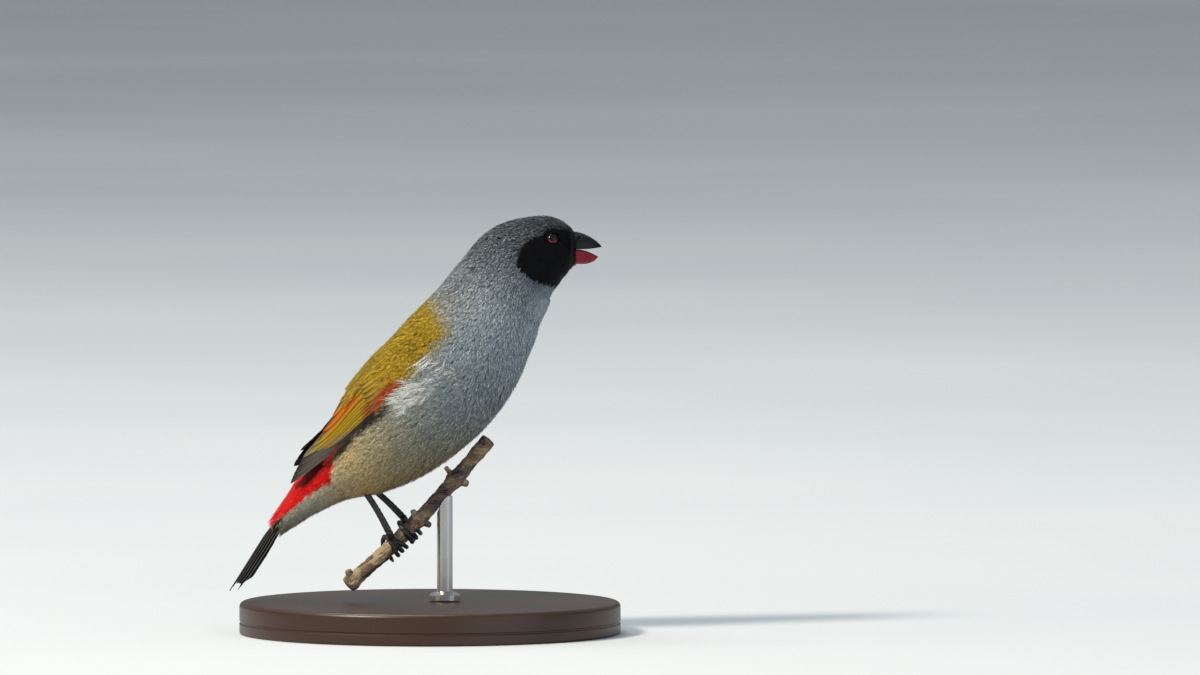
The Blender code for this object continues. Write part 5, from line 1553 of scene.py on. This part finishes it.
@dataclass
class Bill:
    """Upper and lower halves of the bill, a short deep cone with its tip drawn down."""

    base_x: float = 26.7
    face_x: float = 27.5
    tip: Pair = (32.4, 73.0)
    culmen_z: float = 75.7
    tomium_z: float = 72.72
    lower_tip: Pair = (31.7, 71.2)
    lower_tomium_z: float = 72.44
    gonys_z: float = 69.9
    half_width: float = 2.45
    nostril: Pair = (28.25, 74.75)
    nostril_radii: Pair = (0.42, 0.26)
    rows: int = 64
    around: int = 72

    def half(self, tip: Pair, ridge_z: float, cutting_z: float, sign: float) -> Shell:
        """One half: rings of half an ellipse over a shallow hollow, its depth and width falling to the tip.

        Depth falls as (1 - t^1.75)^0.85 and width as (1 - t^1.35)^0.9. The ridge stands up a little along the
        culmen, growth lines ring the horn, and the upper half has a pit behind a rim for each nostril.

        Args:
            tip: Its tip, x and z.
            ridge_z: Height of its ridge at the face.
            cutting_z: Height of its cutting edge at the face.
            sign: 1 where the ridge is above the cutting edge, -1 below.

        Returns:
            The closed surface.
        """
        length = tip[0] - self.face_x
        t = np.linspace((self.base_x - self.face_x) / length, 1.0, self.rows)[:, None]
        held = np.clip(t, 0.0, 1.0)
        x = self.face_x + length * t
        cutting = cutting_z + (tip[1] - cutting_z) * held**1.6 - 0.10 * sign * np.sin(np.pi * held)
        depth = abs(ridge_z - cutting_z) * (1 - held**(1.75 if sign > 0 else 2.5)) ** 0.85 + 0.07
        half = self.half_width * (1 - held**1.35) ** 0.9 * (1.0 if sign > 0 else 0.94) + 0.07
        upper = int(self.around * 0.72)
        angle = np.linspace(0.0, math.pi, upper)
        keel = 1.0 + 0.035 * bell(angle, math.pi / 2, 0.16)
        edge = 1.0 + 0.03 * bell(np.minimum(angle, math.pi - angle), 0.0, 0.12)
        inner = np.linspace(-0.9, 0.9, self.around - upper)
        y = np.concatenate([half * np.cos(angle) * edge, half * inner], axis=1)
        z = np.concatenate([cutting + sign * depth * np.sin(angle) ** 0.85 * keel,
                            cutting + sign * depth * 0.20 * (1 - inner**2)], axis=1)
        shrink = np.where(t < 0, 1.0 + 0.25 * t / abs(t[0]), 1.0)
        middle = cutting + sign * depth * 0.45
        y = y * shrink
        z = middle + (z - middle) * shrink
        if sign > 0:
            (nostril_x, nostril_z), (long, high) = self.nostril, self.nostril_radii
            reach = np.hypot((x - nostril_x) / long, (z - nostril_z) / high)
            pit = -0.42 * smooth_step(1.05, 0.55, reach) + 0.03 * bell(reach, 1.25, 0.25)
            y = y + np.sign(y) * pit * (np.abs(y) > 0.6)
        z = z + sign * 0.004 * np.sin(x * 2 * math.pi / 0.42 + 0.6 * np.cos(y))
        return closed_tube(np.stack(np.broadcast_arrays(x, y, z), axis=-1))

    def build(self, black: Material, red: Material) -> None:
        """Makes both halves."""
        upper = self.half(self.tip, self.culmen_z, self.tomium_z, 1.0)
        lower = self.half(self.lower_tip, self.gonys_z, self.lower_tomium_z, -1.0)
        make_piece("upper_bill", upper, black, ("bill_upper",))
        make_piece("lower_bill", lower, red, ("bill_lower",))


@dataclass
class Eye:
    """An eyeball with the bulge of its cornea, and the lids that close round it."""

    side: Side
    centre: Array
    axis: Array
    radius: float = 1.5
    cornea: float = 0.10
    opening: float = 1.02
    lid_outer: float = 1.9
    brow: float = 0.16
    rings: int = 72
    sides: int = 96

    def about(self, around: Array, out: Array, ahead: Array) -> Array:
        """Places at an angle round the eye's axis, a reach from it and a height along it."""
        axis = unit(self.axis)
        forward = unit(np.array([1.0, 0.0, 0.0]) - axis * axis[0])
        up = np.cross(axis, forward)
        up = up if up[2] > 0 else -up
        around, out, ahead = around[..., None], out[..., None], ahead[..., None]
        return self.centre + (out * (np.cos(around) * forward + np.sin(around) * up) + ahead * axis)

    def ball(self) -> Shell:
        """A ball about the eye's axis with the cornea's low bulge in front: radius plus a bell of the angle."""
        polar = np.linspace(0.01, math.pi - 0.01, self.rings)[:, None]
        around = circle(self.sides)[None]
        radius = self.radius * 0.985 + self.cornea * np.exp(-(polar / 0.62) ** 4)
        shell = closed_tube(self.about(around, radius * np.sin(polar), radius * np.cos(polar)))
        place = np.stack(np.broadcast_arrays(around / (2 * math.pi), polar / math.pi), axis=-1)
        shell.place = np.concatenate([place.reshape(-1, 2), [[0.0, 0.0], [0.0, 1.0]]])
        return shell

    def lids(self) -> Shell:
        """Both lids as one ring: a rolled rim on the ball, folds behind it and a skirt under the feathers. The
        opening has a corner at its front and back, and the upper lid hangs further over the ball."""
        around = circle(128)[:, None]
        rim = self.opening * (1.0 + 0.07 * np.cos(2 * around) + 0.10 * np.abs(np.cos(around)) ** 10
                              - self.brow * np.clip(np.sin(around), 0.0, 1.0))
        v = even(26)[None, :]
        reach = rim + (self.lid_outer - rim) * v
        on_ball = np.sqrt(np.clip((self.radius + 0.10) ** 2 - np.minimum(reach, self.radius) ** 2, 0.0, None))
        folds = 0.045 * np.cos(v * 2 * math.pi * 3.2) * smooth_step(0.06, 0.25, v) * smooth_step(0.9, 0.6, v)
        roll = 0.13 * bell(v, 0.10, 0.10) + folds
        beads = 0.022 * np.cos(around * 26) * bell(v, 0.12, 0.09)
        top = np.maximum(on_ball * smooth_step(0.8, 0.35, v), 0.35) + roll + beads
        top = np.where(v < 0.35, on_ball + roll + beads - 0.02, top)
        outer = smooth_step(0.35, 1.0, v)
        top = top * (1 - outer) + 0.28 * outer
        bottom = top - 0.30 - 0.25 * v
        loop = np.concatenate([self.about(around, reach, top), self.about(around, reach[:, ::-1], bottom[:, ::-1])],
                              axis=1)
        rows, columns = loop.shape[:2]
        last = np.arange(columns)
        after = (last + 1) % columns
        seam = np.stack([(rows - 1) * columns + last, (rows - 1) * columns + after, after, last], axis=-1)
        quads = np.concatenate([grid_quads(rows, columns, wrap=True), seam])
        return Shell(loop.reshape(-1, 3), quads).outward()

    def build(self, eye: Material, lid: Material) -> None:
        """Makes the ball, which stands for the eye's node, and the lids."""
        make_piece(f"eyeball_{self.side.word}", self.ball(), eye, (f"eye_{self.side.word}",))
        make_piece(f"eyelids_{self.side.word}", self.lids(), lid)


@dataclass
class Perch:
    """The cut stem: a sagging line with swollen nodes, furrowed bark and the stubs of side twigs."""

    low: Pair = (-15.7, 8.9)
    high: Pair = (11.2, 36.8)
    sag: float = 1.0
    radius: float = 1.45
    nodes: tuple[tuple[float, float, float], ...] = ((0.035, 0.35, 1.0), (0.475, 0.30, 0.9), (0.745, 0.38, 1.0))
    stubs: tuple[tuple[float, float, float, float], ...] = (
        # share of the stem's length, turn about it, length and radius
        (0.045, 25.0, 0.7, 0.75), (0.478, 15.0, 0.5, 0.60), (0.482, 190.0, 0.9, 0.65), (0.742, 8.0, 1.2, 0.50),
        (0.750, 186.0, 0.8, 0.75))
    rows: int = 420
    sides: int = 96

    def __post_init__(self) -> None:
        """Works out the straight line between the two cut ends."""
        self.start = np.array([self.low[0], 0.0, self.low[1]])
        reach = np.array([self.high[0], 0.0, self.high[1]]) - self.start
        self.length = float(np.linalg.norm(reach))
        self.way = reach / self.length
        self.upper = np.array([-self.way[2], 0.0, self.way[0]])

    def along(self, place: Array) -> Array:
        """Direction of the middle line at distances along it: that of a sine arch of sag."""
        share = np.asarray(place, float)[..., None] / self.length
        return unit(self.way - self.upper * self.sag * np.pi / self.length * np.cos(np.pi * share))

    def about(self, place: Array, turn: Array, radius: Array) -> Array:
        """Places at turns about the stem from its upper side in degrees, positive to the bird's right."""
        place, turn, radius = (v[..., None] for v in np.broadcast_arrays(*(np.asarray(v, float) for v in (
            place, turn, radius))))
        centre = self.start + self.way * place - self.upper * self.sag * np.sin(np.pi * (place / self.length))
        along = self.along(place[..., 0])
        upper = np.stack([-along[..., 2], 0.0 * along[..., 0], along[..., 0]], axis=-1)
        angle = np.radians(turn)
        return centre + radius * (np.cos(angle) * upper + np.sin(angle) * np.array([0.0, -1.0, 0.0]))

    def radius_at(self, place: Array) -> Array:
        """Radius at distances along it: even, with a bell at each node."""
        return self.radius + sum(swell * bell(place, share * self.length, half) for share, swell, half in self.nodes)

    def stem(self) -> Shell:
        """The stem's surface: radius less furrows along the grain, scars across it and a coarse unevenness."""
        place = np.linspace(0.0, self.length, self.rows)[:, None]
        turn = np.linspace(0.0, 360.0, self.sides, endpoint=False)[None, :]
        radius = self.radius_at(place) + 0.0 * turn
        smooth = self.about(place, turn, radius)
        grain = np.stack(np.broadcast_arrays(place * 0.22, np.cos(np.radians(turn)) * 1.5,
                                             np.sin(np.radians(turn)) * 1.5), axis=-1)
        furrows = np.abs(lattice_noise(grain, 0.34, 41) - 0.5) * 2
        rough = lattice_noise(smooth, 1.1, 42) - 0.5
        fine = lattice_noise(smooth, 0.28, 43) - 0.5
        scars = bell(lattice_noise(grain * np.array([9.0, 0.5, 0.5]), 1.4, 44), 0.5, 0.045)
        relief = -0.16 * (1 - furrows) ** 3 + 0.22 * rough + 0.07 * fine - 0.07 * scars
        shell = closed_tube(self.about(place, turn, (radius + relief) * rounded_ends(self.rows, 0.012)[:, None]))
        tone = self.tone(smooth, place, turn, relief)
        shell.colours = np.repeat(np.concatenate([tone.ravel(), [0.12, 0.12]])[:, None], 3, axis=1)
        return shell

    def tone(self, points: Array, place: Array, turn: Array, relief: Array) -> Array:
        """The bark's tone, from dark to pale: painted light makes it pale low on the stem and on top, and painted
        shade makes it darker further up the stem and in its furrows.
        """
        painted_light_low_end = smooth_step(0.55, 0.30, place / self.length)
        top = 0.5 + 0.5 * np.cos(np.radians(turn))
        patches = smooth_step(0.42, 0.62, lattice_noise(points, 2.3, 47))
        # painted light on the low end and the top, painted shade up the stem and in the hollows of the relief
        return np.clip(0.02 + 0.13 * painted_light_low_end * (0.4 + 0.6 * top) - 0.16 * patches * (0.5 + 0.5 * painted_light_low_end)
                       + 0.35 * relief - 0.07 * (1 - painted_light_low_end) + 0.12, 0.0, 0.4)

    def stub(self, share: float, turn: float, length: float, radius: float) -> Shell:
        """A broken side twig: a short tube out of the stem, with a rough end."""
        place = share * self.length
        reach = float(self.radius_at(np.array(place)))
        away = np.linspace(0.0, length + reach * 0.7, 26)
        path = self.about(place + 0.25 * away, turn, reach * 0.3 + away)
        radii = radius * np.interp(np.linspace(0, 1, 26), (0, 0.5, 1), (1.15, 1.0, 0.75)) * rounded_ends(26, 0.12)
        shell = swept_tube(path, radii, np.array([0.0, 1.0, 0.1]), 28, lambda s, a: 0.05 * np.sin(5 * a + 9 * s) * s)
        shell.points = shell.points + (lattice_noise(shell.points, 0.5, 51)[:, None] - 0.5) * 0.12
        tone = 0.10 + 0.10 * lattice_noise(shell.points, 0.7, 52)
        shell.colours = np.repeat(tone[:, None], 3, axis=1)
        return shell

    def build(self, finish: Material) -> None:
        """Makes the stem with its stubs as one piece."""
        shells = [self.stem()] + [self.stub(*stub) for stub in self.stubs]
        make_piece("stem", Shell.joined(shells), finish, ("perch",))


def saw_tooth(length: Array, plate: float, depth: float, lip: float) -> Array:
    """Relief of overlapping plates along a limb, each rising to a lip before the next."""
    tooth = (length / plate) % 1.0
    return depth * (tooth ** 0.6 - 0.5 - 0.9 * bell(tooth, 0.98, lip))


@dataclass
class Leg:
    """A tarsus with its scutes, and the foot that clasps the stem with three toes before and one behind."""

    side: Side
    perch: Perch
    foot_place: float
    hallux_drift: float
    root: tuple[float, float, float] = (-14.0, -3.9, 29.6)
    foot_turn: float = 56.0
    ankle_drift: float = 0.7
    ankle_height: float = 1.75
    tarsus_radius: float = 0.62
    ankle_radius: float = 0.72
    toe_radius: float = 0.46
    toe_end: float = 0.38
    gap: float = 0.3
    claw_length: float = 2.7
    claw_flare: float = 0.75
    scute: float = 0.62
    toe_start: float = 0.85       # where the toes begin, as a share of the foot's turn
    toe_rows: int = 120
    shank_rows: int = 110
    front: tuple[float, float, float] = (1.0, 0.0, 0.35)     # where the shank's plates face
    # a toe's drift along the stem at its root and at its end, and its end's turn
    hallux: tuple[float, float] = (-0.3, -165.0)
    toes: tuple[tuple[float, float, float], ...] = (
        (0.25, 1.05, 190.0), (0.0, -0.05, 222.0), (-0.25, -1.15, 205.0))

    def __post_init__(self) -> None:
        """Works out where the tarsus starts, and where it ends above the toes."""
        self.top = np.array(self.root) * self.side.mirror
        clearance = self.perch.radius + self.gap + self.toe_radius
        self.ankle = self.perch.about(self.foot_place + self.ankle_drift, self.foot_turn * self.side.value,
                                      clearance + self.ankle_height)
        self.stem_way = self.perch.along(self.foot_place)

    def toe_reach(self, place: Any) -> Array:
        """Distance of a toe's middle line from the stem's: the toe's pads rest on the bark."""
        return self.perch.radius_at(np.asarray(place)) + self.gap * 0.35 + self.toe_radius + 0.04

    def scutes(self, length: float, plate: float, depth: float) -> Callable[[Array, Array], Array]:
        """Relief of plates down the shank, deepest in front and faded out behind."""
        return lambda share, angle: (saw_tooth(share * length, plate, depth, 0.06)
                                     * (0.25 + 0.75 * smooth_step(-0.2, 0.5, np.cos(angle))))

    def tarsus(self) -> Shell:
        """The shank from inside the belly feathers to the ankle, slightly bowed, with plates down its front."""
        root = self.top + (self.ankle - self.top) * 0.10
        reach = self.ankle - root
        t = even(self.shank_rows)
        path = root + reach * t[:, None] + (np.sin(np.pi * t) * 0.25)[:, None] * np.array([1.0, 0.0, 0.6])
        radii = ((self.tarsus_radius + (self.ankle_radius - self.tarsus_radius) * t**3) * 0.94
                 + 0.12 * bell(t, 0.02, 0.10)) * rounded_ends(self.shank_rows, 0.05)
        return swept_tube(path, radii, np.array(self.front), 28,
                          self.scutes(float(np.linalg.norm(reach)), 0.95, 0.07))

    def toe(self, drift: float, end_drift: float, end_turn: float) -> Shell:
        """One toe round the stem: its turn runs from the foot's to its own, its drift along the stem settles early,
        its plates lie on its outer side and its pads swell beneath."""
        t = even(self.toe_rows)
        start = self.foot_turn * self.toe_start
        turn = self.side.value * (start + (end_turn - start) * t)
        place = self.foot_place + drift + (end_drift - drift) * smooth_step(0.0, 0.75, t)
        knuckle = 0.10 * np.sin(np.pi * t * 3.0) ** 2
        path = self.perch.about(place, turn, self.toe_reach(place) + knuckle)
        radii = between((self.toe_radius, self.toe_end), t) * rounded_ends(self.toe_rows, 0.05)
        radii = radii * (0.95 + 0.10 * np.cos(np.pi * t * 6.0) ** 2)
        length = float(np.linalg.norm(np.diff(path, axis=0), axis=1).sum())

        def relief(share: Array, angle: Array) -> Array:
            """Plates on the outer half of each ring and rounded pads on the inner half."""
            plates = saw_tooth(share * length, self.scute, 0.065, 0.07)
            pads = 0.05 * np.abs(np.sin(share * length * math.pi / 1.3)) - 0.02
            outside = smooth_step(-0.3, 0.3, np.sin(angle) * self.side.value)
            return plates * np.maximum(outside, 0.35) + pads * (1 - outside)

        return swept_tube(path, radii, self.stem_way, 24, relief)

    def claw(self, end_drift: float, end_turn: float) -> Shell:
        """One claw: it runs on round the stem from its toe and flares off the bark, thinning to a fine point."""
        t = np.linspace(-0.16, 1.0, 40)
        held = np.clip(t, 0.0, 1.0)
        place = self.foot_place + end_drift
        reach = float(self.toe_reach(place))
        heading = math.copysign(1.0, end_turn)
        turn = self.side.value * (end_turn + heading * math.degrees(self.claw_length / reach) * t)
        path = self.perch.about(place, turn, reach + 0.10 + self.claw_flare * (0.4 * held + 0.6 * held**2))
        radii = np.maximum(0.31 * (1 - held) ** 0.8, 0.015) * np.where(t < -0.1, 0.7, 1.0)
        return swept_tube(path, radii, self.stem_way, 18)

    def ball(self) -> Shell:
        """The sole from the ankle to the roots of the toes."""
        line = unit(self.ankle - self.top)
        sole = self.perch.about(self.foot_place, self.foot_turn * self.toe_start * self.side.value,
                                float(self.toe_reach(self.foot_place)) + 0.12)
        t = even(40)[:, None]
        start, bend = self.ankle - line * 0.35, self.ankle + line * 0.9
        path = start * (1 - t) ** 2 + 2 * bend * t * (1 - t) + sole * t**2
        radii = np.interp(t[:, 0], (0.0, 0.5, 1.0), (0.70, 0.70, 0.60)) * rounded_ends(40, 0.10)
        return swept_tube(path, radii, np.array(self.front), 26, self.scutes(2.6, 0.7, 0.06))

    def build(self, skin: Material, horn: Material) -> None:
        """Makes the tarsus, the foot and the claws, in place of the leg's two nodes."""
        toes = [(self.hallux[0], self.hallux_drift, self.hallux[1]), *self.toes]
        word = self.side.word
        make_piece(f"shank_{word}", self.tarsus(), skin, (f"tarsus_{word}",))
        shells = [self.ball()] + [self.toe(*toe) for toe in toes]
        make_piece(f"toes_{word}", Shell.joined(shells), skin, (f"foot_{word}",))
        make_piece(f"claws_{word}", Shell.joined([self.claw(*toe[1:]) for toe in toes]), horn)


@dataclass
class Stand:
    """The turned base, made finely in place of the frame's, and the finishes of base and rod."""

    radius: float = 36.0
    height: float = 6.0
    edge_round: float = 0.9
    foot_round: float = 0.4
    sides: int = 240

    def base(self) -> Shell:
        """A disc turned about the upright axis: flat top and underside, rounded edges and a groove in its side."""
        quarter = np.radians(np.linspace(90.0, 0.0, 9))
        upper = np.stack([self.radius - self.edge_round * (1 - np.cos(quarter)),
                          self.height - self.edge_round * (1 - np.sin(quarter))], axis=1)
        lower = np.stack([self.radius - self.foot_round * (1 - np.cos(quarter[::-1])),
                          self.foot_round * (1 - np.sin(quarter[::-1]))], axis=1)
        groove = [[self.radius, 2.5], [self.radius - 0.18, 2.3], [self.radius - 0.18, 2.1], [self.radius, 1.9]]
        inside = [[r, self.height] for r in (0.5, 6.0, 14.0, 24.0, 32.0, 34.5)]
        below = [[r, 0.0] for r in (34.0, 20.0, 0.5)]
        profile = np.concatenate([inside, upper, groove, lower, below])
        return closed_tube(turned(profile[:, 0], profile[:, 1], self.sides))

    def build(self, frame: dict[str, Any], wood: Material, steel: Material) -> None:
        """Makes the base, with crisp edges where its faces meet steeply, and dresses the rod."""
        base = make_piece("turned_base", self.base(), wood, ("stand_base",))
        base.data.set_sharp_from_angle(angle=math.radians(35))
        rod = frame["nodes"]["stand_rod"]
        rod.data.materials.clear()
        rod.data.materials.append(steel)


@dataclass
class Studio:
    """Camera, floor and lights."""

    aim: tuple[float, float, float] = (32.1, 0.0, 55.9)
    distance: float = 3000.0
    elevation: float = 3.0
    lens: float = 477.0
    floor_flat: float = 4200.0
    floor_rise: float = 2600.0
    lit_height: float = 45.0          # of the place that the lamps are aimed at
    surround: str = "#e4ecf4"
    surround_strength: float = 0.5
    lights: tuple[tuple[str, tuple[float, float, float], float, float, str], ...] = (
        # name, place (mm), width (mm), power (W), colour
        ("key_light", (-1350.0, -1000.0, 1650.0), 420.0, 58.0, "#fff3e0"),
        ("fill_light", (1500.0, -1500.0, 500.0), 1500.0, 9.0, "#dfeaff"),
        ("top_light", (-350.0, 450.0, 1700.0), 900.0, 14.0, "#ffffff"),
    )

    def camera(self) -> None:
        """The photo's view: along +Y, from a little above, through a long lens."""
        data = bpy.data.cameras.new("camera")
        data.lens, data.sensor_width = self.lens, 36.0
        data.clip_start, data.clip_end = 0.05, 100.0
        obj = linked("camera", data)
        rise = math.radians(self.elevation)
        away = self.distance * np.array([0.0, -math.cos(rise), math.sin(rise)])
        obj.location = Vector((np.array(self.aim) + away) * MM)
        obj.rotation_euler = (math.pi / 2 - rise, 0.0, 0.0)
        bpy.context.scene.camera = obj

    def floor(self, finish: Material) -> None:
        """A wide disc that turns up all round in a quarter circle, so that no edge shows."""
        bend = np.linspace(0.0, math.pi / 2, 24)
        radius = np.concatenate([np.geomspace(1.0, self.floor_flat, 24),
                                 self.floor_flat + self.floor_rise * np.sin(bend[1:])])
        height = np.concatenate([np.zeros(24), self.floor_rise * (1 - np.cos(bend[1:]))])
        rings = turned(radius, height, 96)
        mesh = bpy.data.meshes.new("floor")
        mesh.from_pydata((rings.reshape(-1, 3) * MM).tolist(), [], grid_quads(len(radius), 96, wrap=True).tolist())
        mesh.polygons.foreach_set("use_smooth", np.ones(len(mesh.polygons), bool))
        mesh.materials.append(finish)
        linked("floor", mesh)

    def light(self) -> None:
        """Three soft lamps aimed at the bird, and an even pale surround."""
        for name, place, width, power, colour in self.lights:
            data = bpy.data.lights.new(name, "AREA")
            data.size, data.energy = width * MM, power
            data.color = rgba(colour)[:3]
            obj = linked(name, data)
            obj.location = Vector(np.array(place) * MM)
            toward = Vector((0.0, 0.0, self.lit_height * MM)) - obj.location
            obj.rotation_euler = toward.to_track_quat("-Z", "Y").to_euler()
        world = bpy.data.worlds.new("surround")
        world.use_nodes = True
        fill(world.node_tree, world.node_tree.nodes["Background"],
             {"Color": rgba(self.surround), "Strength": self.surround_strength})
        bpy.context.scene.world = world
        bpy.context.scene.view_settings.view_transform = "Standard"


# Seed of each wing, how far its tip is lifted off the back and how far its longest feathers reach on
WING_POSE = {Side.RIGHT: (110, 0.0, 1.0), Side.LEFT: (290, 1.5, -0.9)}
# Where each foot stands along the stem and how far its hind toe drifts along it
FOOT_POSE = {Side.RIGHT: (12.2, -2.6), Side.LEFT: (15.8, -0.7)}
EYE_SPOT = (23.15, 74.85)     # where the middle of the eye shows in the side view
EYE_SINK = 0.25


def main() -> None:
    """Builds the bird and its stand round the frame, piece by piece."""
    logging.basicConfig(level=logging.INFO, format="%(name)s: %(message)s")
    for obj in list(bpy.data.objects):
        bpy.data.objects.remove(obj, do_unlink=True)
    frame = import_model()

    trunk = Trunk()
    markings = Markings(trunk)
    coat = Coat(trunk)
    soft = FeatherFinish().build()
    glossy = FeatherFinish(name="glossy_black_feather_keratin", roughness=0.55, sheen=0.0, specular=0.12).build()
    firm = VaneFinish().build()
    claw_horn = HornFinish("black_claw_horn", "#0b0a0a", "#2a2725", 0.28).build()
    lid_skin = ScuteFinish(name="bare_lid_skin", dark="#020203", middle="#060608", worn="#17151b",
                           roughness=0.7, specular=0.08).build()
    leg_skin = ScuteFinish().build()
    wet_eye = EyeFinish().build()

    Skin(trunk, markings).build(soft)
    eye_spot = trunk.nearest(*EYE_SPOT)
    normal = trunk.steps(*(np.array([v]) for v in eye_spot))[2][0]
    for side in Side:
        low, high = (np.array(corner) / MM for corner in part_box(f"eye_{side.word}"))
        axis = normal * side.mirror
        Eye(side, (low + high) / 2 - EYE_SINK * axis, axis).build(wet_eye, lid_skin)
    for patch in Plumage(trunk, markings, eye_spot).patches():
        coat.build([patch], glossy if patch.name == "coat_mask" else soft, markings.at)
    for side in Side:
        Wing(side, trunk, WingMarkings(), coat, *WING_POSE[side]).build(firm, soft)
        FlankPlumes(side, coat).build(soft)
    Tail(trunk).build(VaneFinish(name="black_tail_keratin", roughness=0.42, specular=0.07, streak=0.3).build())
    Bill().build(HornFinish("black_bill_horn", "#040507", "#0e1116").build(),
                 HornFinish("red_bill_horn", "#6c0a1c", "#8e1628").build())
    perch = Perch()
    perch.build(BarkFinish().build())
    for side in Side:
        Leg(side, perch, *FOOT_POSE[side]).build(leg_skin, claw_horn)
    Stand().build(frame, WoodFinish().build(), SteelFinish().build())

    studio = Studio()
    studio.floor(FloorFinish().build())
    studio.light()
    studio.camera()


if __name__ == "__main__":
    main()
